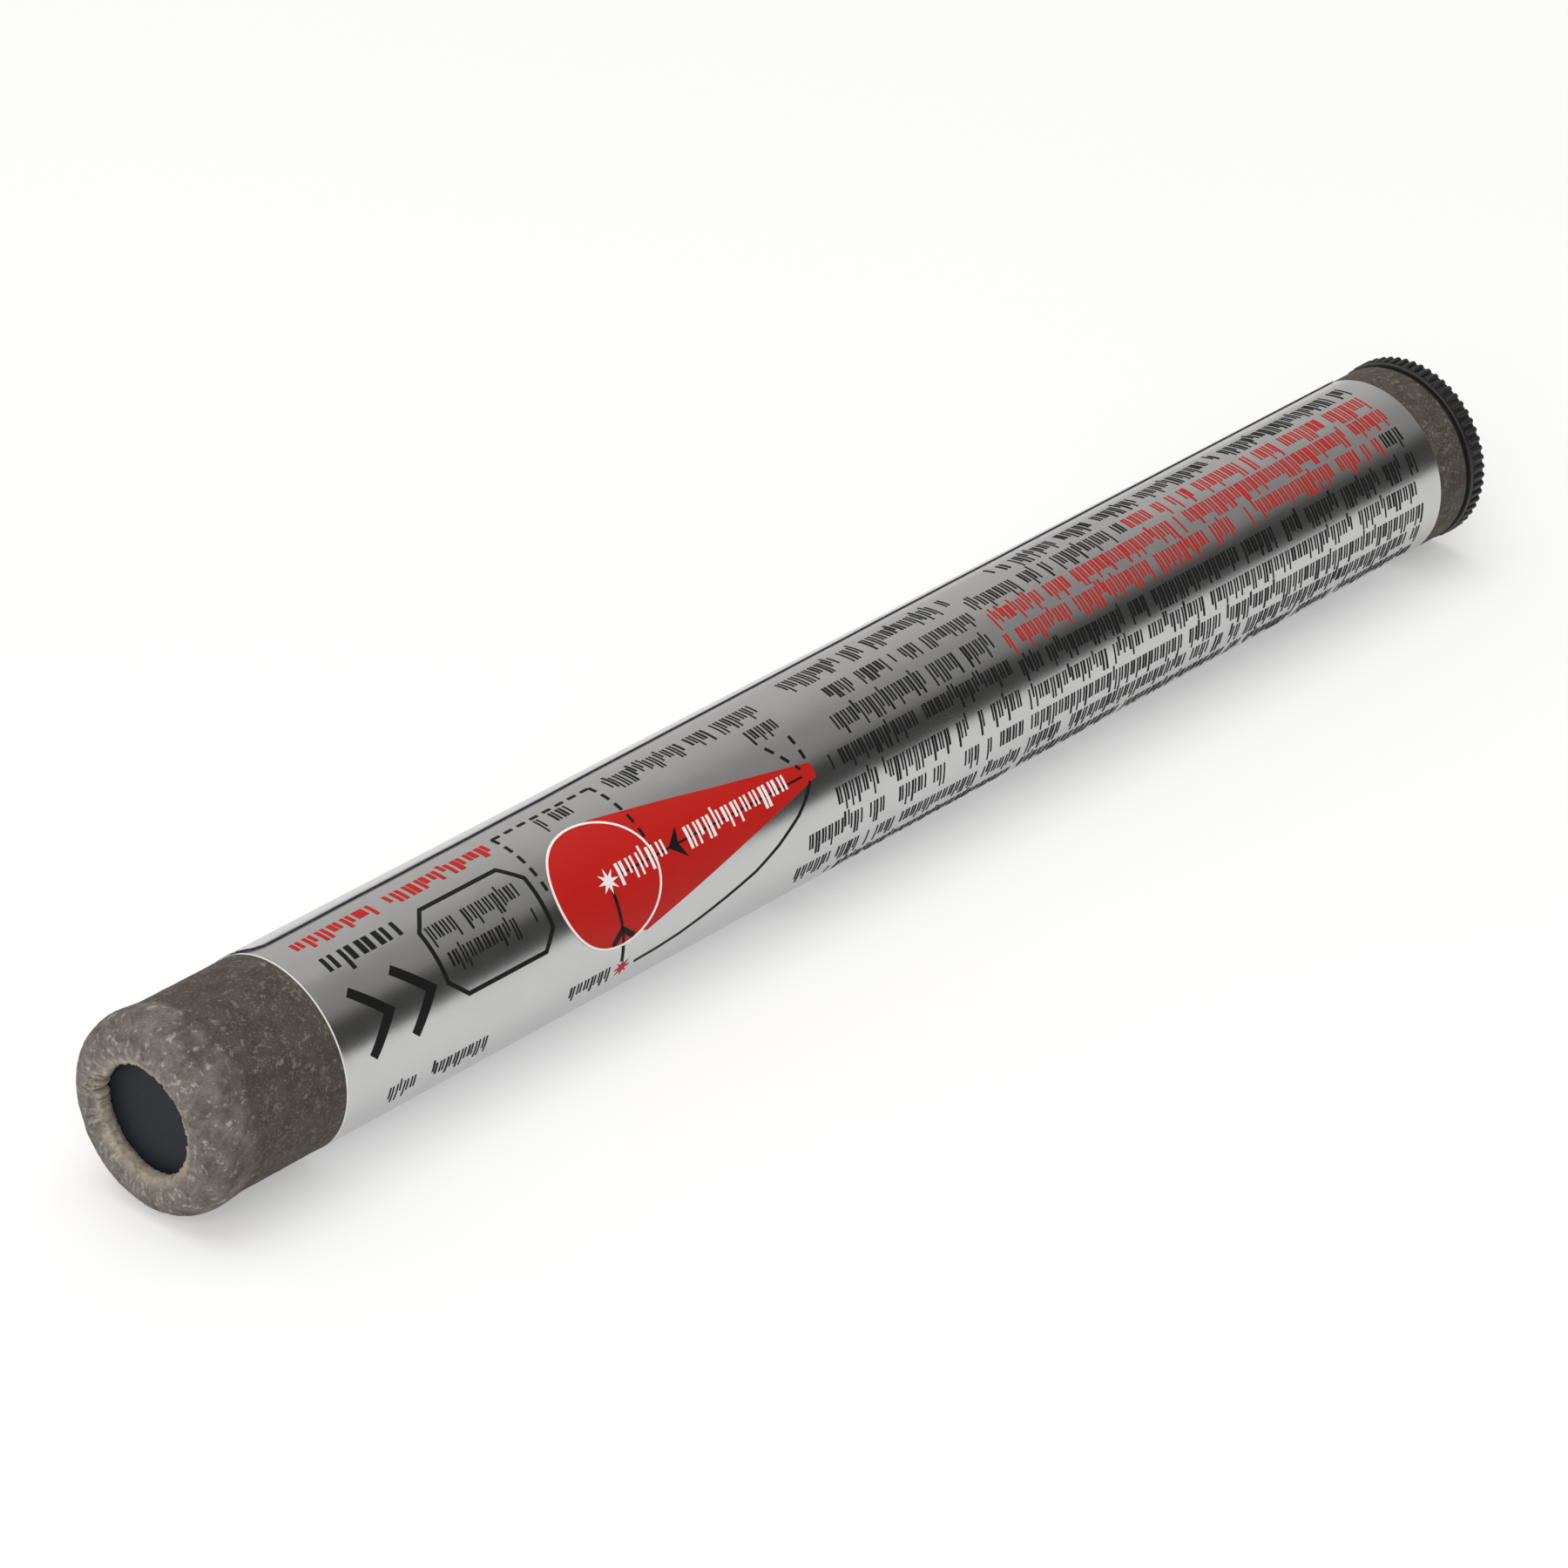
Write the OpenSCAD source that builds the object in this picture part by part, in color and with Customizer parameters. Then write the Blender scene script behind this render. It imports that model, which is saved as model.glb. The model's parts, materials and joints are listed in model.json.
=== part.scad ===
// Tube pack of 15 mm signal stars: a curled cardboard tube with a foil label,
// a closing disc, ten stars in a row and a knurled push-in stopper.
// The tube lies along X with its curled end at -X and its stopper at +X.
// The origin is at the middle of its length, on the surface it lies on.

/* [Stars] */
// Number of stars in the tube
star_count = 10; // [4:1:10]
// Outside diameter of a star, its calibre
star_od = 15; // [14.5:0.1:15]
// Length of a star
star_len = 16.4; // [14:0.1:20]
// Wall of a star's paper case
case_wall = 0.8; // [0.6:0.1:1.2]
// Thickness of the base that closes a star's rear end
base_t = 1.5; // [1:0.1:2.5]
// Diameter of the flash hole through the base
flash_d = 3; // [2:0.5:4]
// Thickness of the paper disc that closes a star's front end
top_t = 0.7; // [0.5:0.1:1]
// Depth of the front disc below the case's edge
top_recess = 0.5; // [0.2:0.1:1]

/* [Tube] */
// Outside diameter of the cardboard tube
tube_od = 19.2; // [18.8:0.1:19.4]
// Inside diameter of the cardboard tube
tube_id = 15.5; // [15.3:0.1:16]
// Outside diameter of the swollen ring behind the curled rim
rim_od = 19.8; // [19.6:0.1:20.6]
// Diameter of the hole that the curled rim leaves open
hole_d = 10.8; // [8:0.2:12]
// Diameter of the rim's foremost circle
crest_d = 14.8; // [13.6:0.2:16]
// Thickness of the cardboard that is turned in at the rim
lip_t = 1.55; // [1.2:0.05:2]

/* [Label] */
// Distance from the curled end to the label
label_start = 16.4; // [10:0.1:30]
// Bare cardboard between the label and the tube's mouth
label_margin = 4.4; // [2:0.1:10]
// Thickness of one layer of label
label_t = 0.08; // [0.06:0.01:0.09]
// Angle of the label's free edge from the top, towards the front
lap_edge = -27; // [-40:1:30]
// Angle over which the label's two ends lap
lap_width = 26; // [10:1:40]

/* [Stopper] */
// Diameter over the tips of the stopper's ribs
knob_od = 19.7; // [19:0.1:20]
// Width of the stopper's ribbed flange
knob_w = 2.4; // [1.5:0.1:6]
// Number of ribs round the flange
rib_count = 60; // [24:2:72]
// Height of the smooth collar between the tube's mouth and the flange
collar_w = 0.5; // [0.2:0.1:1]
// Depth of the plug inside the tube
plug_depth = 8.3; // [5:0.1:12]
// Thickness of the plug's wall
plug_wall = 1.1; // [0.8:0.1:1.6]

/* [Hidden] */
// Play between stars, and between the first star and the disc
star_gap = 0.2;
// Play between parts that only touch, and how deep parts of one solid sink into each other
touch = 0.05;
sunk = 0.1;
// Thickness of the closing disc, and its broken edge
disc_t = 1.2;
disc_edge = 0.1;
// Distance from the curled end to the back of the turned-in lip
lip_back = 2;
// Radius of the corner inside the rim, which the disc clears
rim_fillet = 0.8;
// Distances from the curled end to the widest circle of the swelling and to its end
swell_start = 3;
swell_end = 6.4;
// Width and depth of the rounding at the hole's edge
hole_edge_w = 0.5;
hole_edge_d = 0.4;
// Radius of a rib, how far the ribs stand out of the flange, and the flange's broken edges
rib_r = 0.36;
rib_h = 0.24;
knob_edge = 0.3;
// Step from the collar in to the tube's outside
collar_step = 0.3;
// Height and width of the plug's two beads, their places along it, and its lead-in
bead_h = 0.12;
bead_w = 0.7;
bead_places = [0.35, 0.75];
lead_in = 0.7;
// Thickness of the stopper's floor that reaches into the tube
plug_floor = 0.3;
// Radius and depth of the moulding gate in the stopper's face
gate_r = 1.6;
gate_depth = 0.4;
// Broken edges of a star's case and of its pressed filling
case_edge = 0.15;
pellet_edge = 0.4;
disc_start = lip_back + touch;
stack_start = disc_start + disc_t + star_gap;
stack_pitch = star_len + star_gap;
tube_len = stack_start + star_count * stack_pitch + plug_depth;
knob_start = tube_len + collar_w;
overall_len = knob_start + knob_w;
axis_z = rim_od / 2;
label_len = tube_len - label_start - label_margin;
tube_r = tube_od / 2;
bore_r = tube_id / 2;
case_bore = star_od - 2 * case_wall;

STARS = [for (i = [1:star_count]) str(i < 10 ? "star_0" : "star_", i)];
$fn = 96;

CARDBOARD = [0.37, 0.34, 0.31];
DISC_BLACK = [0.19, 0.20, 0.22];
FOIL = [0.70, 0.71, 0.73];
STOPPER_BLACK = [0.10, 0.10, 0.11];
CASE_RED = [0.66, 0.11, 0.10];
BASE_BLACK = [0.13, 0.13, 0.14];
PELLET_GREY = [0.42, 0.40, 0.38];
FRONT_GREY = [0.62, 0.60, 0.56];

// Stands what is drawn along +Z into the tube's line, d mm from the curled end
module along(d) {
    translate([d - overall_len / 2, 0, axis_z]) rotate([0, 90, 0]) children();
}

// A ring or sleeve from its two radii and its length
module sleeve(r_out, r_in, len) {
    rotate_extrude() translate([r_in, 0]) square([r_out - r_in, len]);
}

// A disc with its two edges broken by c
module broken_disc(r, len, c) {
    rotate_extrude() polygon([
        [0, 0], [r - c, 0], [r, c], [r, len - c], [r - c, len], [0, len]
    ]);
}

// Points of a quarter of an ellipse about c, from angle a0 to angle a1
function arc(c, rx, ry, a0, a1, n) = [
    for (i = [0:n]) let (a = a0 + (a1 - a0) * i / n) c + [rx * cos(a), ry * sin(a)]
];

// Points of a soft step from radius r0 at height h0 to radius r1 at height h1
function soft_step(r0, h0, r1, h1, n) = [
    for (i = [0:n]) let (t = i / n) [
        r0 + (r1 - r0) * (1 - cos(180 * t)) / 2,
        h0 + (h1 - h0) * t
    ]
];

// The wall of the tube, as radius and distance from the curled end
function tube_outline() =
    let (
        hole_r = hole_d / 2,
        crest_r = crest_d / 2,
        round_w = rim_od / 2 - crest_r,
        hole_front = lip_back - lip_t
    )
    concat(
        [[bore_r, tube_len], [tube_r, tube_len]],
        soft_step(tube_r, swell_end, rim_od / 2, swell_start, 6),
        arc([crest_r, swell_start], round_w, swell_start, -8, -90, 8),
        arc([hole_r + hole_edge_w, hole_front + hole_edge_d], hole_edge_w, hole_edge_d, -110, -180, 3),
        [[hole_r, lip_back]],
        arc([bore_r - rim_fillet, lip_back + rim_fillet], rim_fillet, rim_fillet, -90, 0, 3)
    );

module cardboard_tube() {
    color(CARDBOARD) along(0) rotate_extrude() polygon(tube_outline());
}

module end_disc() {
    color(DISC_BLACK) along(disc_start) broken_disc(bore_r - rim_fillet - touch, disc_t, disc_edge);
}

// One turn of foil round the tube, with its outer end lapped over its inner end
module foil_label() {
    color(FOIL) along(label_start) {
        sleeve(tube_r + label_t, tube_r, label_len);
        rotate([0, 0, 180 + lap_edge - lap_width]) rotate_extrude(angle = lap_width)
            translate([tube_r + label_t / 2, 0]) square([label_t * 1.5, label_len]);
    }
}

// The flange's outline, a disc with a row of round ribs on its edge
module ribbed_outline() {
    circle(r = knob_od / 2 - rib_h);
    for (i = [0:rib_count - 1])
        rotate(i * 360 / rib_count) translate([knob_od / 2 - rib_r, 0]) circle(r = rib_r, $fn = 24);
}

// The ribbed flange with both its edges broken
module knob() {
    beyond = 0.01;
    intersection() {
        linear_extrude(knob_w) ribbed_outline();
        broken_disc(knob_od / 2 + beyond, knob_w, knob_edge);
    }
}

// The hollow plug, with two sealing beads and a lead-in
module plug() {
    r_out = bore_r - touch - bead_h;
    top = plug_depth + touch + sunk;
    difference() {
        union() {
            rotate_extrude() polygon([[0, 0], [r_out - lead_in, 0], [r_out, lead_in], [r_out, top], [0, top]]);
            for (place = bead_places) translate([0, 0, place * plug_depth]) rotate_extrude() polygon([
                [r_out - bead_w, 0], [r_out, 0], [r_out + bead_h, bead_h],
                [r_out + bead_h, bead_w - bead_h], [r_out, bead_w], [r_out - bead_w, bead_w]
            ]);
        }
        translate([0, 0, -1]) cylinder(r = r_out - plug_wall, h = 1 + plug_depth - plug_floor);
    }
}

module stopper() {
    color(STOPPER_BLACK) difference() {
        union() {
            along(tube_len - plug_depth) plug();
            along(tube_len + touch) cylinder(r = tube_r - collar_step, h = collar_w + sunk);
            along(knob_start) knob();
        }
        along(overall_len - gate_depth) cylinder(r = gate_r, h = 1);
    }
}

// Places one star's piece, h mm from the rear end of star number i
module in_star(i, h) {
    along(stack_start + (i - 1) * stack_pitch + h) children();
}

module star_case(i) {
    r_out = star_od / 2;
    r_in = case_bore / 2;
    color(CASE_RED) in_star(i, 0) rotate_extrude() polygon([
        [r_in, 0], [r_out - case_edge, 0], [r_out, case_edge],
        [r_out, star_len - case_edge], [r_out - case_edge, star_len], [r_in, star_len]
    ]);
}

module star_base(i) {
    color(BASE_BLACK) in_star(i, 0) sleeve(case_bore / 2 - touch, flash_d / 2, base_t);
}

module star_pellet(i) {
    len = star_len - base_t - top_t - top_recess - 2 * touch;
    color(PELLET_GREY) in_star(i, base_t + touch) broken_disc(case_bore / 2 - touch, len, pellet_edge);
}

module star_front_disc(i) {
    color(FRONT_GREY) in_star(i, star_len - top_recess - top_t)
        cylinder(r = case_bore / 2 - touch, h = top_t);
}

cardboard_tube();
end_disc();
foil_label();
stopper();
for (i = [1:star_count]) {
    star_case(i);
    star_base(i);
    star_pellet(i);
    star_front_disc(i);
}
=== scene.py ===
"""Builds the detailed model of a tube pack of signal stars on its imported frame."""

import json
import math

import bmesh
import bpy
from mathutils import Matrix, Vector, noise

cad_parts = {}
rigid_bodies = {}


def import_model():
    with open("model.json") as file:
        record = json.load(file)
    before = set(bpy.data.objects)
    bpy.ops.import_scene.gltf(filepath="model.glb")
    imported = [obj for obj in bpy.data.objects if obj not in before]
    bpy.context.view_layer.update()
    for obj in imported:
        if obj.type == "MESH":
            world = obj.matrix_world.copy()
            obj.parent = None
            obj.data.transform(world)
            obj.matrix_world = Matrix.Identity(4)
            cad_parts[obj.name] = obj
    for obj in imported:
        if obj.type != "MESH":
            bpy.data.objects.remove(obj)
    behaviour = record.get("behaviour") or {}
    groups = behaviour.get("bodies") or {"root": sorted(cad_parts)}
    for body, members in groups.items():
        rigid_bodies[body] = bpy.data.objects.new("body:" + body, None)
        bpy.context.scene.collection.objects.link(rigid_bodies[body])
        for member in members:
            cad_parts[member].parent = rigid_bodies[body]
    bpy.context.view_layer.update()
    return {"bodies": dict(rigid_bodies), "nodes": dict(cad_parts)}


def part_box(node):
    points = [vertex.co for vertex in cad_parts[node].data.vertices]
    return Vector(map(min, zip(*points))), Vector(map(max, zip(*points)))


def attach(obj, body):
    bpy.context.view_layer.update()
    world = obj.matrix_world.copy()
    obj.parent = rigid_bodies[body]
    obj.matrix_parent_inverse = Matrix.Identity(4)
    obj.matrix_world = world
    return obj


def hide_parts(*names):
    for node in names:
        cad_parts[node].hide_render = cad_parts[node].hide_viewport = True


bl_info = {
    "name": "Signal Star Tube Pack",
    "version": (1, 0, 0),
    "blender": (4, 5, 0),
    "location": "View3D > Sidebar > Star Pack",
    "description": "Builds a curled cardboard tube with a printed foil label, a stopper and its stars",
    "category": "Add Mesh",
}

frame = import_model()

MM = 0.001
TUBE_LOW, TUBE_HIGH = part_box("cardboard_tube")
LABEL_LOW, LABEL_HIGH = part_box("foil_label")
STOPPER_LOW, STOPPER_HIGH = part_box("stopper")
END_X = TUBE_LOW[0]
MOUTH = TUBE_HIGH[0] - END_X
AXIS_Z = (TUBE_LOW[2] + TUBE_HIGH[2]) / 2
LABEL_START = LABEL_LOW[0] - END_X
LABEL_LENGTH = LABEL_HIGH[0] - LABEL_LOW[0]
LABEL_RADIUS = (LABEL_HIGH[2] - LABEL_LOW[2]) / 2
STARS = sorted(body for body in frame["bodies"] if body.startswith("star_"))


# ---- Settings ----


def length(name, about, default, low=0.0, high=1000.0):
    """A length setting, given in millimetres and kept in metres."""
    return bpy.props.FloatProperty(
        name=name, description=about, default=default * MM, min=low * MM, max=high * MM,
        precision=5, unit="LENGTH",
    )


def angle(name, about, default):
    """An angle setting, given in degrees and kept in radians."""
    return bpy.props.FloatProperty(
        name=name, description=about, default=math.radians(default), subtype="ANGLE"
    )


def factor(name, about, default):
    """A setting from 0 to 1."""
    return bpy.props.FloatProperty(
        name=name, description=about, default=default, min=0.0, max=1.0, subtype="FACTOR"
    )


def count(name, about, default):
    """A whole-number setting."""
    return bpy.props.IntProperty(name=name, description=about, default=default, min=1, max=1000)


def tint(name, about, default):
    """A colour setting, in linear light."""
    return bpy.props.FloatVectorProperty(
        name=name, description=about, default=default, size=3, min=0.0, max=1.0, subtype="COLOR"
    )


def number(name, about, default):
    """A setting with no unit of its own."""
    return bpy.props.FloatProperty(name=name, description=about, default=default)


class TubeSettings(bpy.types.PropertyGroup):
    """Sizes and colours of the cardboard tube and its closing disc."""

    wall_radius: length("Wall radius", "Outside radius of the cardboard tube", 9.6)
    bore_radius: length("Bore radius", "Inside radius of the cardboard tube", 7.75)
    swell_radius: length("Swell radius", "Radius of the swelling behind the rim", 9.88)
    crest_radius: length("Crest radius", "Radius of the rim's foremost circle", 7.4)
    hole_radius: length("Hole radius", "Radius of the hole in the rim", 5.4)
    hole_recess: length("Hole recess", "How far the hole's edge lies behind the crest", 0.5)
    lip_back: length("Lip back", "Distance from the crest to the turned-in lip's back", 2.0)
    fuzz: length("Fuzz", "Depth of the cardboard's rough surface", 0.035)
    crumple: length("Crumple", "Depth of the creases round the rim", 0.10)
    ragged: length("Ragged edge", "How far the hole's edge wanders", 0.30)
    fray: length("Fray", "Height of the fibres pulled up round the hole", 0.10)
    notch: length("Notch", "Depth of the notches torn in the hole's edge", 1.5)
    notch_at: number("Notch place", "Place of the notches round the hole, in degrees from the top", 282.0)
    segments: count("Segments", "Faces round the tube", 340)
    card: tint("Card", "Colour of the cardboard", (0.078, 0.0655, 0.0558))
    # The dark card colour is also mixed in as the painted shade inside the bore
    card_dark: tint("Dark card", "Colour of the cardboard's darker mottling", (0.036, 0.030, 0.0255))
    card_light: tint("Light card", "Colour of the cardboard's loose fibres", (0.25, 0.215, 0.172))
    scuffed: tint("Scuffed card", "Colour of the cardboard where the rim is worn", (0.205, 0.186, 0.165))
    flakes: tint("Flakes", "Colour of the flakes and fibres torn up at the rim", (0.42, 0.385, 0.34))
    cut: tint("Cut card", "Colour of the cardboard's cut edge", (0.36, 0.31, 0.24))
    disc: tint("Disc", "Colour of the closing disc", (0.0105, 0.0125, 0.0165))


class LabelSettings(bpy.types.PropertyGroup):
    """Sizes and colours of the foil label and its print."""

    thickness: length("Foil thickness", "Thickness of the label", 0.066)
    lap: angle("Lap", "Angle over which the label's two ends lap", 26.0)
    edge_lift: length("Edge lift", "How far the label's free edge stands off", 0.07)
    ink_thickness: length("Ink thickness", "Thickness of the print", 0.022)
    foil: tint("Foil", "Colour of the metal foil", (0.565, 0.565, 0.565))
    # Painted shadow: this dark bluish colour on the label's free edge stands in for the shadow line that the
    # edge casts
    seam: tint("Seam", "Colour of the label's free edge", (0.075, 0.09, 0.14))
    core: tint("Core", "Colour of the label's cut edge", (0.85, 0.86, 0.87))
    black: tint("Black ink", "Colour of the black print", (0.0045, 0.0045, 0.0045))
    red: tint("Red ink", "Colour of the red print", (0.44, 0.010, 0.0065))
    white: tint("White ink", "Colour of the white print", (0.75, 0.75, 0.74))


class StopperSettings(bpy.types.PropertyGroup):
    """Sizes and colour of the push-in stopper."""

    tip_radius: length("Tip radius", "Radius over the tips of the ribs", 9.85)
    rib_radius: length("Rib radius", "Radius of one rib", 0.36)
    rib_count: count("Rib count", "Number of ribs round the flange", 60)
    rib_length: length("Rib length", "Length of one rib along the stopper", 1.95)
    rib_start: length("Rib start", "Distance from the stopper's face to the ribs' far ends", 2.0)
    flange_radius: length("Flange radius", "Radius of the flange between its ribs", 9.56)
    flange_width: length("Flange width", "Width of the flange along the stopper", 2.4)
    gate_depth: length("Gate depth", "Depth of the moulding gate in the face", 0.4)
    collar_radius: length("Collar radius", "Radius of the collar against the mouth", 9.3)
    plug_radius: length("Plug radius", "Radius of the plug between its beads", 7.58)
    bead: length("Bead", "Height of the plug's two sealing beads", 0.12)
    plug_wall: length("Plug wall", "Thickness of the plug's wall", 1.1)
    segments: count("Segments", "Faces round the stopper's body", 180)
    plastic: tint("Plastic", "Colour of the stopper", (0.0075, 0.0075, 0.0082))


class StarSettings(bpy.types.PropertyGroup):
    """Sizes and colours of the ten signal stars."""

    turns: count("Turns", "Turns of paper in a star's wall", 4)
    wall: length("Wall", "Thickness of a star's rolled wall", 0.8)
    seam: length("Seam", "Play between two turns of paper", 0.012)
    paper: tint("Paper", "Colour of the rolled paper", (0.42, 0.022, 0.016))
    base: tint("Base", "Colour of the star's base", (0.016, 0.016, 0.018))
    charge: tint("Filling", "Colour of the pressed filling", (0.15, 0.138, 0.125))
    front: tint("Front disc", "Colour of the star's front disc", (0.36, 0.325, 0.27))


class StageSettings(bpy.types.PropertyGroup):
    """Camera, floor and light."""

    lens: number("Lens", "Focal length of the camera in millimetres", 169.30)
    camera_distance: length("Camera distance", "Distance to the point it looks at", 707.487)
    camera_turn: angle("Camera turn", "Camera's place round the pack, from its end to its front", 42.8204)
    camera_rise: angle("Camera rise", "Camera's angle above the floor", 29.6869)
    aim_along: length("Aim along", "Distance from the curled end to the point looked at", 83.682)
    aim_side: length("Aim side", "Distance of the point looked at behind the axis", -0.55, -100.0)
    floor_size: length("Floor size", "Width of the floor", 6000, high=20000)
    floor: tint("Floor", "Colour of the floor", (0.62, 0.62, 0.62))
    floor_glow: factor("Floor glow", "Light that the floor gives off itself", 0.36)
    overhead: number("Overhead light", "Power of the softbox above, in watts", 11.5)
    front: number("Front light", "Power of the softbox in front, in watts", 9.0)
    room: number("Room light", "Strength of the studio's own light", 1.0)


SETTINGS = {
    "tube_settings": TubeSettings,
    "label_settings": LabelSettings,
    "stopper_settings": StopperSettings,
    "star_settings": StarSettings,
    "stage_settings": StageSettings,
}


# ---- Node helpers ----


def fill(tree, node, inputs):
    """Gives a node's inputs a value each, or a link where one is given."""
    for key, value in inputs.items():
        if isinstance(value, bpy.types.NodeSocket):
            tree.links.new(value, node.inputs[key])
        else:
            node.inputs[key].default_value = value


def add_node(tree, kind, inputs=None, **settings):
    """Adds a node with its settings and inputs."""
    made = tree.nodes.new(kind)
    for key, value in settings.items():
        setattr(made, key, value)
    fill(tree, made, inputs or {})
    return made


def geometry_node(tree, kind, inputs=None, **settings):
    """The first output of a Geometry Nodes node."""
    return add_node(tree, "GeometryNode" + kind, inputs, **settings).outputs[0]


def vector(tree, x=0.0, y=0.0, z=0.0):
    """A vector from three values."""
    return add_node(tree, "ShaderNodeCombineXYZ", {0: x, 1: y, 2: z}).outputs[0]


def maths(tree, operation, first, second=0.0, third=0.0, clamp=False):
    """The output of a Math node."""
    inputs = {0: first, 1: second, 2: third}
    return add_node(tree, "ShaderNodeMath", inputs, operation=operation, use_clamp=clamp).outputs[0]


def times(tree, first, second, clamp=False):
    """One value times another."""
    return maths(tree, "MULTIPLY", first, second, clamp=clamp)


def scaled(tree, value, by, plus=0.0):
    """A value times one number, plus another."""
    return maths(tree, "MULTIPLY_ADD", value, by, plus)


def mix_colours(tree, amount, first, second):
    """The colour between two colours or colour sockets."""
    inputs = {"Factor": amount}
    for key, colour in ((6, first), (7, second)):
        inputs[key] = colour if isinstance(colour, bpy.types.NodeSocket) else (*colour, 1.0)
    return add_node(tree, "ShaderNodeMix", inputs, data_type="RGBA").outputs[2]


def soft_range(tree, value, low, high, to_low=0.0, to_high=1.0):
    """A value brought from one range to another in a soft step."""
    inputs = {"Value": value, "From Min": low, "From Max": high, "To Min": to_low, "To Max": to_high}
    return add_node(tree, "ShaderNodeMapRange", inputs, interpolation_type="SMOOTHSTEP").outputs[0]


def noise_value(tree, where, scale, detail=3.0, roughness=0.6, distortion=0.0):
    """The value of a Noise texture."""
    inputs = {"Vector": where, "Scale": scale, "Detail": detail}
    inputs.update({"Roughness": roughness, "Distortion": distortion})
    return add_node(tree, "ShaderNodeTexNoise", inputs).outputs["Fac"]


def new_group(name, kind, inputs, outputs):
    """A node group with named inputs and outputs, and its two end nodes."""
    tree = bpy.data.node_groups.new(name, kind)
    for label, (socket, value) in inputs.items():
        made = tree.interface.new_socket(label, in_out="INPUT", socket_type=socket)
        if value is not None:
            made.default_value = value
    for label, socket in outputs.items():
        tree.interface.new_socket(label, in_out="OUTPUT", socket_type=socket)
    return tree, add_node(tree, "NodeGroupInput"), add_node(tree, "NodeGroupOutput")


def place_group(tree, name, scale):
    """The outputs of a shared effect, placed in a material at a scale."""
    made = tree.nodes.new("ShaderNodeGroup")
    made.node_tree = bpy.data.node_groups[name]
    made.inputs["Scale"].default_value = scale
    return made.outputs


def arrange(tree):
    """Sets the nodes out in columns, by how far each is from the tree's end."""
    depth = {node: 0 for node in tree.nodes}
    for _ in tree.nodes:
        for link in tree.links:
            depth[link.from_node] = max(depth[link.from_node], depth[link.to_node] + 1)
    rows = {}
    for node, column in depth.items():
        rows[column] = rows.get(column, 0) + 1
        node.location = (-240 * column, -260 * rows[column])


def end_tree(tree, end, shape, material):
    """Ends a Geometry Nodes tree: instances are made real, then given their material."""
    real = geometry_node(tree, "RealizeInstances", {"Geometry": shape})
    coated = geometry_node(tree, "SetMaterial", {"Geometry": real, "Material": material})
    tree.links.new(coated, end.inputs[0])
    arrange(tree)
    return tree


# ---- Shared effects ----


def new_effect(name, outputs):
    """A shared effect with a Scale input: its tree, end node, coordinates and scale."""
    inputs = {"Scale": ("NodeSocketFloat", 1.0)}
    outputs = {key: "NodeSocketFloat" for key in outputs}
    tree, start, end = new_group(name, "ShaderNodeTree", inputs, outputs)
    where = add_node(tree, "ShaderNodeTexCoord").outputs["Object"]
    return tree, end, where, start.outputs["Scale"]


def build_paper_fibre():
    """Mottling, loose light fibres, pale flakes and a rough surface, for cardboard and paper."""
    names = ("Mottle", "Tone", "Fleck", "Flake", "Height")
    tree, end, where, size = new_effect("Paper Fibre", names)
    broad = noise_value(tree, where, times(tree, size, 520.0), 4.0, 0.62)
    tone = noise_value(tree, where, times(tree, size, 1250.0), 3.0, 0.7, 0.6)
    fine = noise_value(tree, where, times(tree, size, 4200.0), 2.0, 0.6, 0.9)
    long = noise_value(tree, where, times(tree, size, 1500.0), 2.0, 0.6, 1.6)
    torn = noise_value(tree, where, times(tree, size, 1350.0), 2.0, 0.6, 0.3)
    fleck = soft_range(tree, long, 0.58, 0.68)
    height = maths(tree, "ADD", times(tree, fine, 0.6), times(tree, fleck, 0.5))
    results = {
        "Mottle": soft_range(tree, broad, 0.36, 0.66), "Tone": soft_range(tree, tone, 0.35, 0.68),
        "Fleck": fleck, "Flake": soft_range(tree, torn, 0.585, 0.68),
        "Height": maths(tree, "ADD", height, times(tree, broad, 0.8)),
    }
    fill(tree, end, results)
    arrange(tree)


def build_fine_grain():
    """An even fine grain and slow clouds, for foil, ink and moulded plastic."""
    tree, end, where, size = new_effect("Fine Grain", ("Grain", "Cloud", "Speck"))
    grain = noise_value(tree, where, times(tree, size, 9000.0), 1.0, 0.5)
    cloud = noise_value(tree, where, times(tree, size, 260.0), 3.0, 0.55)
    speck = noise_value(tree, where, times(tree, size, 3000.0), 2.0, 0.5)
    fill(tree, end, {"Grain": grain, "Cloud": cloud, "Speck": soft_range(tree, speck, 0.66, 0.78)})
    arrange(tree)


# ---- Materials ----


def new_material(name):
    """A material and its node tree."""
    made = bpy.data.materials.new(name)
    made.use_nodes = True
    return made, made.node_tree


def finish_material(made, inputs, height=None, strength=0.0, distance=0.0):
    """Fills in a material's shader and, where a height is given, makes its surface bumpy."""
    tree = made.node_tree
    shader = tree.nodes["Principled BSDF"]
    fill(tree, shader, inputs)
    if height is not None:
        bump = {"Strength": strength, "Distance": distance, "Height": height}
        fill(tree, shader, {"Normal": add_node(tree, "ShaderNodeBump", bump).outputs[0]})
    arrange(tree)
    return made


def attribute(tree, name):
    """The value of a mesh attribute."""
    return add_node(tree, "ShaderNodeAttribute", attribute_name=name).outputs["Fac"]


def shaded(colour, by, plus=0.0):
    """A colour times a number, or times one number for each channel, plus a little white."""
    by = by if isinstance(by, tuple) else (by, by, by)
    return tuple(min(1.0, c * k + plus) for c, k in zip(colour, by))


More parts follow.
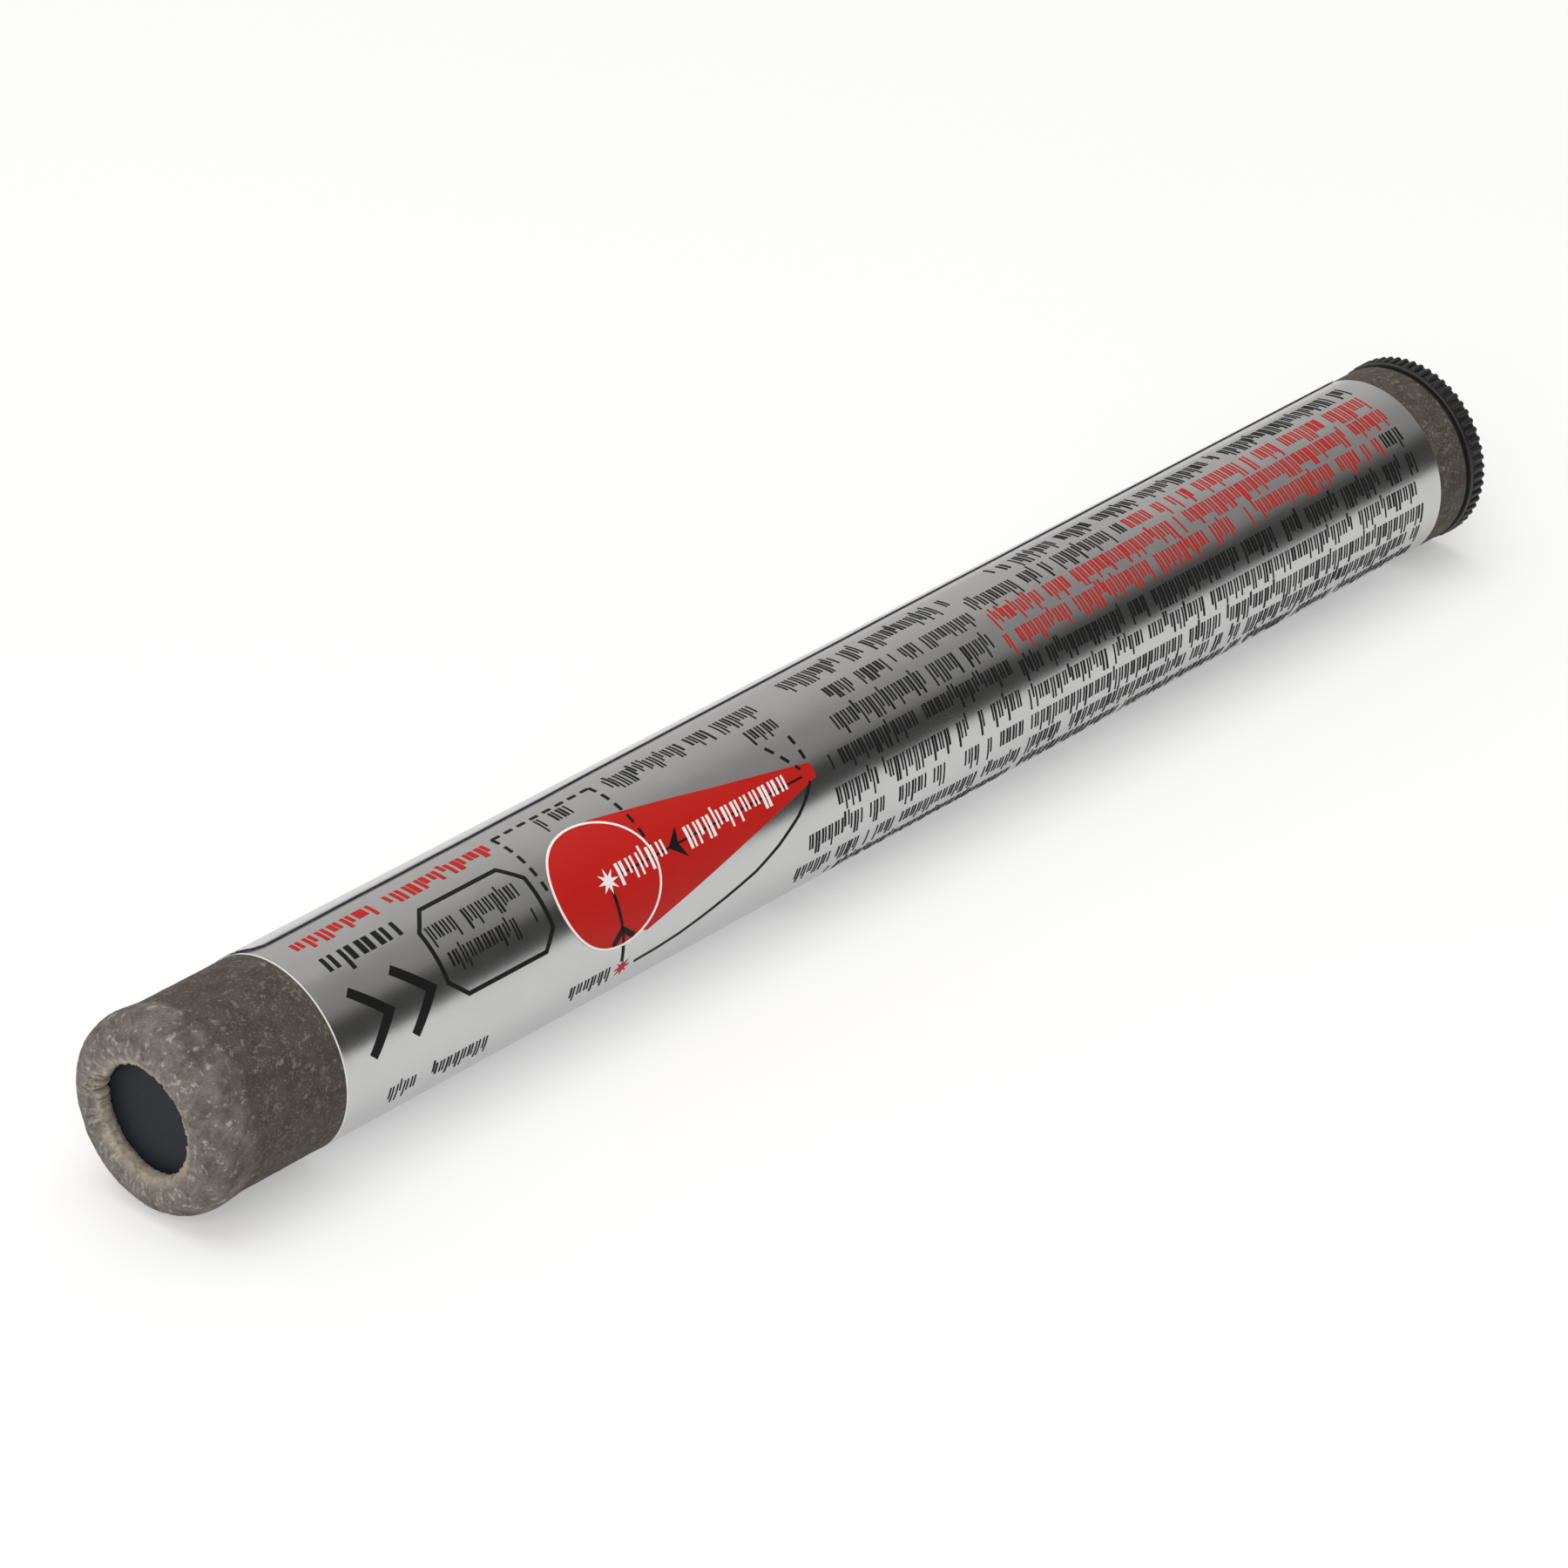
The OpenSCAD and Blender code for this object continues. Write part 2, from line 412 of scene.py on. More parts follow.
def card_material(settings):
    """Grey-brown wound cardboard, worn pale at the rim, tan where it is cut, and darkened inside the bore as
    painted shade.
    """
    made, tree = new_material("cardboard_fibre")
    fibre = place_group(tree, "Paper Fibre", 1.0)
    fine = place_group(tree, "Paper Fibre", 2.6)
    colour = mix_colours(tree, fibre["Mottle"], settings.card_dark, settings.card)
    greenish = shaded(settings.card, (0.94, 1.0, 0.86))
    purplish = shaded(settings.card, (1.12, 0.99, 1.06))
    colour = mix_colours(tree, 0.42, colour, mix_colours(tree, fibre["Tone"], greenish, purplish))
    uneven = scaled(tree, fine["Tone"], 0.55, 0.5)
    flake = times(tree, times(tree, fibre["Flake"], attribute(tree, "flaky")), 0.8)
    pulled = times(tree, attribute(tree, "torn"), uneven, clamp=True)
    for amount, over in (
        (times(tree, attribute(tree, "scuff"), uneven, clamp=True), settings.scuffed),
        (attribute(tree, "cut"), settings.cut),
        (times(tree, fibre["Fleck"], 0.55), settings.card_light),
        (times(tree, fine["Fleck"], 0.5), settings.card_light),
        (flake, settings.flakes),
        (times(tree, pulled, 0.8), settings.flakes),
        # Painted shade: the bore behind the lip is darkened towards the dark card colour, standing in for the
        # shade inside the tube
        (attribute(tree, "grime"), settings.card_dark),
    ):
        colour = mix_colours(tree, amount, colour, over)
    roughness = scaled(tree, fibre["Tone"], 0.1, 0.82)
    inputs = {"Base Color": colour, "Roughness": roughness, "Specular IOR Level": 0.3}
    return finish_material(made, inputs, fibre["Height"], 0.75, 0.00016)


def foil_material(settings):
    """Satin aluminium foil with a fine grain."""
    made, tree = new_material("satin_foil")
    grain = place_group(tree, "Fine Grain", 1.0)
    colour = mix_colours(tree, grain["Cloud"], shaded(settings.foil, 0.9), settings.foil)
    roughness = scaled(tree, grain["Cloud"], 0.05, 0.225)
    inputs = {"Base Color": colour, "Roughness": roughness, "Metallic": 1.0}
    bumps = maths(tree, "ADD", grain["Grain"], times(tree, grain["Cloud"], 3.0))
    return finish_material(made, inputs, bumps, 0.11, 0.00003)


def ink_material(name, colour, roughness, gloss=0.5):
    """Printing ink, with the foil's fine grain under it."""
    made, tree = new_material(name)
    grain = place_group(tree, "Fine Grain", 0.8)
    inputs = {
        "Base Color": mix_colours(tree, grain["Cloud"], colour, shaded(colour, 1.15, 0.003)),
        "Roughness": scaled(tree, grain["Grain"], 0.15, roughness), "Specular IOR Level": gloss,
    }
    return finish_material(made, inputs, grain["Grain"], 0.2, 0.00002)


def seam_shadow_material(settings):
    """The label's free edge, coloured dark and bluish as a painted shadow: it stands in for the shadow line
    that the lapping edge casts.
    """
    made, tree = new_material("seam_edge")
    grain = place_group(tree, "Fine Grain", 1.0)
    colour = mix_colours(tree, grain["Cloud"], shaded(settings.seam, 0.6), settings.seam)
    return finish_material(made, {"Base Color": colour, "Metallic": 0.6, "Roughness": 0.45})


def core_material(settings):
    """The pale cut edge and back of the label."""
    made, tree = new_material("label_core")
    fibre = place_group(tree, "Paper Fibre", 2.0)
    colour = mix_colours(tree, fibre["Mottle"], shaded(settings.core, 0.85), settings.core)
    return finish_material(made, {"Base Color": colour, "Roughness": 0.6})


def plastic_material(name, colour, roughness, grain_scale=1.0, gloss=0.5):
    """Moulded plastic with a satin skin and a few pale rub marks."""
    made, tree = new_material(name)
    grain = place_group(tree, "Fine Grain", grain_scale)
    shade = mix_colours(tree, grain["Cloud"], colour, shaded(colour, 1.5, 0.004))
    shade = mix_colours(tree, times(tree, grain["Speck"], 0.35), shade, shaded(colour, 1.0, 0.05))
    roughness = scaled(tree, grain["Cloud"], 0.18, roughness)
    inputs = {"Base Color": shade, "Roughness": roughness, "Specular IOR Level": gloss}
    return finish_material(made, inputs, grain["Grain"], 0.25, 0.00003)


def paper_material(name, colour, scale, depth):
    """Dyed or plain paper with its own fibre."""
    made, tree = new_material(name)
    fibre = place_group(tree, "Paper Fibre", scale)
    shade = mix_colours(tree, fibre["Mottle"], shaded(colour, 0.72), colour)
    shade = mix_colours(tree, times(tree, fibre["Fleck"], 0.35), shade, shaded(colour, 1.15, 0.05))
    inputs = {"Base Color": shade, "Roughness": scaled(tree, fibre["Tone"], 0.12, 0.7)}
    return finish_material(made, inputs, fibre["Height"], 0.4, depth)


# ---- Mesh helpers ----


def place(s, r, a):
    """The point s along the tube from its curled end, r from its axis, a from the top to the front."""
    return Vector((END_X + s, -r * math.sin(a), AXIS_Z + r * math.cos(a)))


def clamp(t):
    """A value kept between 0 and 1."""
    return min(1.0, max(0.0, t))


def smooth(t):
    """A soft step from 0 to 1."""
    t = clamp(t)
    return t * t * (3 - 2 * t)


def add_object(name, data):
    """An object in the scene."""
    made = bpy.data.objects.new(name, data)
    bpy.context.scene.collection.objects.link(made)
    return made


def finish_piece(name, mesh, body, replaced, materials, sharp=math.radians(35)):
    """Makes a mesh a piece of the pack, which rides on a body and stands for CAD nodes."""
    for material in materials:
        mesh.materials.append(material)
    mesh.shade_smooth()
    mesh.set_sharp_from_angle(angle=sharp)
    piece = add_object(name, mesh)
    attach(piece, body)
    if replaced:
        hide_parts(*replaced)
    return piece


def write_mesh(name, bm):
    """A mesh from a bmesh, with its faces outward."""
    bmesh.ops.recalc_face_normals(bm, faces=bm.faces)
    mesh = bpy.data.meshes.new(name)
    bm.to_mesh(mesh)
    bm.free()
    return mesh


def turn_rings(bm, rings, segments, point):
    """Turns a closed outline of (distance, radius) round the axis; point(i, a) places one corner."""
    rows = []
    for i, (_, r) in enumerate(rings):
        if r < 1e-7:
            rows.append([bm.verts.new(point(i, 0.0))] * segments)
        else:
            rows.append([bm.verts.new(point(i, math.tau * k / segments)) for k in range(segments)])
    for row, after in zip(rows, rows[1:] + rows[:1]):
        for k in range(segments):
            n = (k + 1) % segments
            corners = list(dict.fromkeys((row[k], after[k], after[n], row[n])))
            if len(corners) > 2:
                bm.faces.new(corners)
    return rows


def run_nodes(name, source_mesh, tree, values):
    """Runs a Geometry Nodes tree on a mesh and returns the result as a plain mesh."""
    source = add_object(name + "_source", source_mesh)
    modifier = source.modifiers.new(tree.name, "NODES")
    modifier.node_group = tree
    keys = {item.name: item.identifier for item in tree.interface.items_tree if item.in_out == "INPUT"}
    for key, value in values.items():
        modifier[keys[key]] = value
    graph = bpy.context.evaluated_depsgraph_get()
    mesh = bpy.data.meshes.new_from_object(source.evaluated_get(graph), depsgraph=graph)
    mesh.name = name
    source.modifiers.clear()
    bpy.data.objects.remove(source)
    mesh.materials.clear()
    return mesh


# ---- Cardboard tube ----


# Broken edge of the tube's mouth, rounding of the hole's edge, and the reach of the bare far band
MOUTH_EDGE, HOLE_EDGE, FAR_BAND = 0.12 * MM, 0.35 * MM, 3.9 * MM
# Distances from the rim's foremost circle to its widest and to the swelling's end, and the radius
# of the corner inside the rim
CREST_DEPTH, SWELL_END, INNER_CORNER = 3.0 * MM, 6.4 * MM, 0.8 * MM


def tube_outline(settings):
    """Rings of the tube's wall as (distance, radius), from the mouth over the rim and back inside.

    Also gives the numbers of the first ring of the hole's wall and the first ring behind the lip.
    """
    wall, swell, crest = settings.wall_radius, settings.swell_radius, settings.crest_radius
    hole, bore, back = settings.hole_radius, settings.bore_radius, settings.lip_back
    recess = settings.hole_recess
    label_in = LABEL_START + 1.0 * MM
    from_mouth = (0.4, 0.8, 1.2, 1.6, 2.0, 2.5, 3.0, 3.5, 4.0, 5.0, 20.0, 60.0, 110.0)
    rings = [(MOUTH, wall - MOUTH_EDGE), (MOUTH - MOUTH_EDGE, wall)]
    rings += [(MOUTH - d * MM, wall) for d in from_mouth]
    steps = 26
    rings += [(label_in + (SWELL_END - label_in) * i / steps, wall) for i in range(steps)]
    steps = 10
    for i in range(steps):
        t = i / steps
        s = SWELL_END + (CREST_DEPTH - SWELL_END) * t
        rings.append((s, wall + (swell - wall) * (1 - math.cos(math.pi * t)) / 2))
    steps = 26
    for i in range(steps):
        t = math.pi / 2 * i / steps
        rings.append((CREST_DEPTH * (1 - math.sin(t)), crest + (swell - crest) * math.cos(t)))
    steps = 9
    for i in range(steps):
        t = i / steps
        rings.append((recess * t ** 1.7, crest + (hole + HOLE_EDGE - crest) * t))
    for degrees in (0, 25, 50, 75):
        a = math.radians(degrees)
        rings.append((recess + HOLE_EDGE * (1 - math.cos(a)), hole + HOLE_EDGE * (1 - math.sin(a))))
    hole_wall = len(rings)
    rings += [(recess + d * MM, hole) for d in (0.45, 0.7, 0.92)]
    rings += [(recess + d * MM, hole + u * MM) for d, u in ((1.1, 0.05), (1.26, 0.16), (1.4, 0.3))]
    inside = len(rings)
    rings += [(back, hole + 0.36 * MM), (back, hole + 0.7 * MM), (back, bore - INNER_CORNER)]
    for degrees in (30, 60, 90):
        a = math.radians(degrees)
        rings.append((
            back + INNER_CORNER * (1 - math.cos(a)), bore - INNER_CORNER * (1 - math.sin(a))
        ))
    rings += [(back + d * MM, bore) for d in (5, 40, 90, 140, 165, 170)]
    rings += [(MOUTH - MOUTH_EDGE, bore), (MOUTH, bore + MOUTH_EDGE)]
    return rings, hole_wall, inside


def tube_point(settings, outline, i, a):
    """A point of the tube's wall with its rough surface, creases and ragged hole."""
    rings, hole_wall, inside = outline
    s, r = rings[i]
    before, after = rings[i - 1], rings[(i + 1) % len(rings)]
    across = Vector((after[1] - before[1], before[0] - after[0]))
    across = across.normalized() if across.length else Vector((0.0, 1.0))
    spot = Vector((math.cos(a) * r, math.sin(a) * r, s)) / MM
    round_spot = Vector((math.cos(a), math.sin(a), 0.0))
    outside = s < LABEL_START and i <= hole_wall
    rough = 0.0
    if outside or s > MOUTH - FAR_BAND and r > settings.bore_radius + 0.2 * MM:
        rough = settings.fuzz * (noise.noise(spot * 2.6) * 0.6 + noise.noise(spot * 0.9) * 0.6)
        rough *= smooth((LABEL_START - s) / (1.5 * MM)) if s < MOUTH / 2 else 1.0
    if outside:
        near_rim = smooth((4.2 * MM - s) / (3.2 * MM))
        crease = noise.noise(round_spot * 4.5 + Vector((0, 0, r / MM * 0.25)))
        rough += settings.crumple * near_rim * (0.8 * crease + 0.5 * noise.noise(spot * 1.7))
        rough -= settings.crumple * 0.35 * near_rim
    if outside and s < 2.0 * MM:
        frayed = smooth((7.4 * MM - r) / (1.4 * MM))
        fibres = noise.noise(round_spot * 27.0 + Vector((0, 0, r / MM * 0.5)))
        layers = noise.noise(spot * 2.1) + 0.8 * noise.noise(spot * 4.6)
        rough += settings.fray * frayed * (layers + 0.9 * fibres)
    near_hole = smooth(1 - (r - settings.hole_radius) / (0.9 * MM)) if s < 2.5 * MM else 0.0
    if near_hole and i <= inside:
        wander = noise.noise(round_spot * 3.0) * 0.5 + noise.noise(round_spot * 9.0) * 0.5
        wander += 0.45 * noise.noise(round_spot * 23.0) + 0.3 * noise.noise(spot * 2.8)
        r += near_hole * settings.ragged * (wander + 0.3)
        reach = smooth(1 - abs(math.degrees(a) - settings.notch_at) / 30)
        torn = max(0.0, noise.noise(round_spot * 14.0) + 0.12) + max(0.0, noise.noise(round_spot * 31.0))
        r += near_hole * settings.notch * reach * torn
    s += across[0] * rough
    r += across[1] * rough
    return place(max(s, 0.02 * MM), r, a)


def build_tube(settings, materials):
    """The wound cardboard tube, with its curled and worn rim."""
    outline = tube_outline(settings)
    rings, _, first_inside = outline
    card_edge = math.radians(60)
    bm = bmesh.new()
    names = ("scuff", "flaky", "cut", "grime", "torn")
    scuff, flaky, cut, grime, torn = [bm.verts.layers.float.new(name) for name in names]
    rows = turn_rings(bm, rings, settings.segments, lambda i, a: tube_point(settings, outline, i, a))
    for i, row in enumerate(rows):
        s, r = rings[i]
        inside = i >= first_inside
        for k, vertex in enumerate(row):
            a = math.tau * k / len(row)
            spot = Vector((math.cos(a) * r, math.sin(a) * r, s)) / MM
            patch = noise.noise(spot * 0.55) * 0.5 + noise.noise(spot * 1.6) * 0.35
            worn = smooth((5.9 * MM + patch * 2.2 * MM - s) / (2.6 * MM)) * (0.66 + patch * 1.3)
            round_spot = Vector((math.cos(a), math.sin(a), r / MM * 0.06))
            streak = 0.5 + noise.noise(round_spot * 15.0) + 0.6 * noise.noise(round_spot * 34.0)
            worn += smooth((8.9 * MM - r) / (2.4 * MM)) * (0.2 + 0.5 * streak) * (s < 1.5 * MM)
            vertex[scuff] = 0.0 if inside else clamp(worn)
            flakes = 0.3 + 0.7 * smooth((7.0 * MM + patch * 2.5 * MM - s) / (5.0 * MM))
            vertex[flaky] = 0.0 if inside else clamp(flakes * (0.75 + patch))
            ring = smooth((r - 5.2 * MM) / (0.4 * MM)) * smooth((8.7 * MM - r) / (2.2 * MM)) * (s < 2.0 * MM)
            pull = 2.4 * noise.noise(round_spot * 24.0) + 1.2 * noise.noise(spot * 1.3) - 0.15
            vertex[torn] = 0.0 if inside else ring * clamp(pull)
            lip = smooth((settings.hole_radius + 1.3 * MM - r) / (1.0 * MM)) * (s < 2.2 * MM)
            mouth = 0.75 if s > MOUTH - 0.05 * MM else 0.0
            vertex[cut] = clamp(max(lip * (0.8 + patch), mouth))
            # Painted shade: rings inside the tube behind the lip are darkened, standing in for the shade in
            # the bore
            vertex[grime] = 0.55 if inside and s > 2.5 * MM else 0.0
    mesh = write_mesh("cardboard_tube_curled", bm)
    name = "cardboard_tube_curled"
    return finish_piece(name, mesh, "tube", ["cardboard_tube"], materials, card_edge)


# ---- Foil label ----

# The free edge's place round the tube, in mm from the top, at distances along the label
FREE_EDGE = (
    (0.0, -4.4), (0.9, -3.1), (2.0, -2.6), (25.0, -2.9), (50.0, -3.5), (100.0, -4.4), (157.0, -5.2)
)
# Numbers of the label's materials, in the order in which they are given to its piece; EDGE carries the
# painted shadow along the free edge
FACE, CORE, EDGE = 0, 1, 2


def free_edge(x):
    """The angle of the label's free edge from the top, x along the label."""
    x = x / MM
    for (x0, y0), (x1, y1) in zip(FREE_EDGE, FREE_EDGE[1:]):
        if x <= x1:
            break
    t = clamp((x - x0) / (x1 - x0))
    wave = 0.12 * noise.noise(Vector((x * 0.12, 3.1, 0.0)))
    return (y0 + (y1 - y0) * t + wave) * MM / LABEL_RADIUS


def build_label(settings, materials):
    """The foil label: one turn of sheet whose outer end laps over its inner end."""
    around, along = 330, 64
    stations = [0.0, 0.13 * MM, 0.6 * MM, 0.9 * MM, 1.4 * MM, 2.0 * MM]
    stations += [2.0 * MM + (LABEL_LENGTH - 2.0 * MM) * (i + 1) / along for i in range(along)]
    play = 0.012 * MM
    inner = LABEL_RADIUS - settings.thickness - play
    bm = bmesh.new()
    outer_grid, inner_grid = [], []
    for x in stations:
        edge = free_edge(x)
        first, last = edge - settings.lap, edge + math.tau
        outer_row, inner_row = [], []
        for k in range(around + 1):
            a = first + (last - first) * k / around
            rise = smooth((a - first - math.tau + 0.05) / 0.16) * (settings.thickness + play)
            near = 0.45 + 0.55 * smooth(1 - x / (90 * MM))
            near += 1.2 * smooth(1 - x / (2.0 * MM))
            lift = settings.edge_lift * near * smooth(1 - (last - a) / 0.2)
            r = inner + rise + lift
            outer_row.append(bm.verts.new(place(LABEL_START + x, r + settings.thickness, a)))
            inner_row.append(bm.verts.new(place(LABEL_START + x, r, a)))
        outer_grid.append(outer_row)
        inner_grid.append(inner_row)
    columns = len(stations) - 1
    for i in range(columns):
        for k in range(around):
            for grid in (outer_grid, inner_grid):
                face = bm.faces.new((grid[i][k], grid[i + 1][k], grid[i + 1][k + 1], grid[i][k + 1]))
                face.material_index = FACE if grid is outer_grid and i > 0 else CORE
                # Painted shadow: the strip of face next to the free edge takes the dark seam colour
                if k == around - 1 and grid is outer_grid:
                    face.material_index = EDGE
    for i in (0, columns):
        for k in range(around):
            rim = (outer_grid[i][k], outer_grid[i][k + 1], inner_grid[i][k + 1], inner_grid[i][k])
            bm.faces.new(rim).material_index = CORE
    for k in (0, around):
        for i in range(columns):
            rim = (outer_grid[i][k], outer_grid[i + 1][k], inner_grid[i + 1][k], inner_grid[i][k])
            bm.faces.new(rim).material_index = EDGE
    mesh = write_mesh("foil_label_wrapped", bm)
    return finish_piece("foil_label_wrapped", mesh, "tube", ["foil_label"], materials)


# ---- Print: plain shapes, drawn flat in mm as (along the label, round it from the top) ----

# Middle of the drop's round end
DROP_CENTRE = (35.5, 9.1)
# How deep the ink sinks into the foil, and how much higher each further layer of ink lies
INK_SUNK, INK_STEP = 0.004 * MM, 0.012 * MM
# How much the white strokes stand above the drop that they are printed on
WHITE_RAISED = 0.028 * MM


def ribbon(path, width, closed=False):
    """Quads of a line of even width along a path."""
    points = [Vector(p) for p in path]
    total = len(points)
    left, right = [], []
    for i, point in enumerate(points):
        ways = []
        if closed or i > 0:
            ways.append((point - points[i - 1]).normalized())
        if closed or i < total - 1:
            ways.append((points[(i + 1) % total] - point).normalized())
        way = sum(ways, Vector((0.0, 0.0))).normalized()
        side = Vector((-way.y, way.x)) * width / 2 / max(0.4, way.dot(ways[0]))
        left.append(tuple(point + side))
        right.append(tuple(point - side))
    last = total if closed else total - 1
    return [(left[i], left[(i + 1) % total], right[(i + 1) % total], right[i]) for i in range(last)]


def arc(x, y, rx, ry, start, end, steps):
    """Points of an ellipse's arc, with its angles in degrees."""
    angles = [math.radians(start + (end - start) * i / steps) for i in range(steps + 1)]
    return [(x + rx * math.cos(a), y + ry * math.sin(a)) for a in angles]


def dashes(start, end, dash=1.0, space=0.7, width=0.34):
    """Quads of a dashed straight line."""
    start, end = Vector(start), Vector(end)
    way = (end - start).normalized()
    quads, at, total = [], 0.0, (end - start).length
    while at < total:
        stop = min(at + dash, total)
        quads += ribbon([start + way * at, start + way * stop], width)
        at += dash + space
    return quads


def black_shapes():
    """The black frame, chevrons, arrows, range line and dashed bracket."""
    frame_corners = [(14.1, 5.1), (16.0, 3.0), (25.8, 3.0), (27.6, 5.1)]
    frame_corners += [(27.6, 10.4), (26.0, 12.2), (16.0, 12.2), (14.1, 10.4)]
    shapes = ribbon(frame_corners, 0.42, closed=True)
    for x in (3.6, 8.9):
        shapes += ribbon([(x, 6.8), (x + 3.2, 10.05), (x, 13.3)], 1.0)
    shapes += ribbon([(35.6, 9.9), (35.6, 17.4)], 0.36)
    shapes += ribbon([(34.2, 15.1), (35.6, 13.9), (37.0, 15.1)], 0.62)
    shapes += [((43.7, 9.0), (45.6, 7.4), (45.0, 9.0)), ((43.7, 9.0), (45.0, 9.0), (45.6, 10.6))]
    shapes += ribbon([(37.2, 9.0), (62.0, 9.0)], 0.22)
    reach = [(62.7, 9.7), (61.5, 11.0), (60.0, 12.2), (56.8, 14.0), (53.6, 15.4), (50.0, 16.4)]
    reach += [(46.8, 17.2), (43.5, 17.9), (40.5, 18.25), (37.5, 18.4)]
    shapes += ribbon(reach, 0.3)
    shapes += dashes((28.9, -0.6), (28.9, 7.6)) + dashes((28.9, -0.6), (41.9, -0.8))
    shapes += dashes((41.9, -0.8), (41.9, 8.0)) + dashes((60.1, 4.9), (62.2, 8.3))
    return shapes + dashes((63.4, 4.9), (63.4, 8.1))


def spark(x, y, tip, root, points=8):
    """Corners of a small star of eight points, from the radii of its tips and roots."""
    step = 180 / points
    return [arc(x, y, r, r, i * step, i * step, 1)[0] for i, r in enumerate([tip, root] * points)]


def red_shapes():
    """The red drop of the range drawing and its small spark."""
    drop = [(38.0, 2.9), (52.0, 5.9), (63.6, 8.1), (63.6, 9.6), (52.0, 12.2), (38.7, 15.3)]
    drop += arc(*DROP_CENTRE, 6.5, 6.5, 66, 288, 44)
    return [drop, spark(35.8, 18.3, 1.05, 0.42)]


def white_shapes():
    """The white ring and spark on the red drop."""
    ring = ribbon(arc(*DROP_CENTRE, 6.35, 6.35, 0, 354, 59), 0.25, closed=True)
    return ring + [spark(35.6, 9.1, 1.3, 0.5)]


def build_shapes(name, polygons, layer, settings, material):
    """Flat polygons made thin closed slabs and wrapped round the label."""
    bm = bmesh.new()
    for polygon in polygons:
        bm.faces.new([bm.verts.new((x, y, 0.0)) for x, y in polygon])
    bmesh.ops.remove_doubles(bm, verts=bm.verts, dist=1e-4)
    bmesh.ops.triangulate(bm, faces=bm.faces)
    low = min(v.co.y for v in bm.verts)
    high = max(v.co.y for v in bm.verts)
    steps = int((high - low) / 0.5) + 1
    for i in range(1, steps):
        geometry = bm.verts[:] + bm.edges[:] + bm.faces[:]
        height = low + (high - low) * i / steps
        bmesh.ops.bisect_plane(bm, geom=geometry, plane_co=(0, height, 0), plane_no=(0, 1, 0), dist=1e-5)
    top = bmesh.ops.extrude_face_region(bm, geom=bm.faces[:], use_keep_orig=True)["geom"]
    for item in top:
        if isinstance(item, bmesh.types.BMVert):
            item.co.z = 1.0
    sunk = LABEL_RADIUS - INK_SUNK
    for vertex in bm.verts:
        x, y, z = vertex.co
        r = sunk + (settings.ink_thickness + layer * INK_STEP) * z
        vertex.co = place(LABEL_START + x * MM, r, y * MM / LABEL_RADIUS)
    mesh = write_mesh(name, bm)
    return finish_piece(name, mesh, "tube", [], [material])


# ---- Print: lines of plain upright strokes that stand for text ----

# Each line is (from, to, lower edge, upper edge) in mm, along the label and round it
SMALL_BLACK = (
    (68.4, 91.7, -1.7, 0.8), (71.0, 91.7, 2.0, 3.9), (69.1, 91.7, 5.1, 7.5), (65.7, 91.7, 8.3, 10.5),
    (65.5, 91.7, 11.5, 14.0), (61.1, 85.2, 14.7, 17.1), (86.6, 91.7, 14.7, 17.1), (59.8, 91.7, 18.0, 20.1),
    (65.5, 91.7, 20.8, 22.6), (99.8, 153.9, -2.4, -0.1), (93.1, 115.7, 0.6, 3.0), (151.3, 153.9, 6.0, 8.3),
    (93.1, 153.9, 9.0, 11.3), (93.1, 153.9, 12.0, 14.1), (93.1, 153.9, 14.7, 17.0), (93.1, 153.9, 17.3, 19.6),
    (93.1, 153.9, 20.1, 22.2), (32.5, 37.8, -0.2, 2.0), (43.7, 63.3, -0.8, 1.5), (59.8, 63.4, 2.3, 4.2),
    (5.7, 18.1, 17.6, 19.7), (29.0, 34.1, 17.4, 19.3), (14.9, 26.8, 4.9, 7.1), (15.6, 26.2, 7.9, 10.0),
)
SMALL_RED = ((116.5, 153.9, 0.6, 3.0), (93.1, 153.9, 3.3, 5.6), (93.1, 150.5, 6.0, 8.3))
BOLD_RED = ((3.2, 27.5, -0.6, 1.2),)
BOLD_BLACK = ((3.8, 12.5, 2.7, 5.2),)
SMALL_WHITE = ((37.2, 43.3, 7.9, 10.1), (46.4, 59.8, 7.9, 10.1))
# The unseen back carries the same kind of lines, set out on a regular pitch
BACK_FIRST, BACK_PITCH, BACK_LINES = 24.6, 2.85, 9


def back_lines():
    """Lines of small print for the back of the label."""
    lines = []
    for i in range(BACK_LINES):
        low = BACK_FIRST + BACK_PITCH * i
        lines.append((93.1 + (i * 7) % 5 * 3.0, 153.9, low, low + 2.2))
        lines.append((62.0 + (i * 5) % 7 * 2.0, 91.7, low, low + 2.2))
    return tuple(lines)


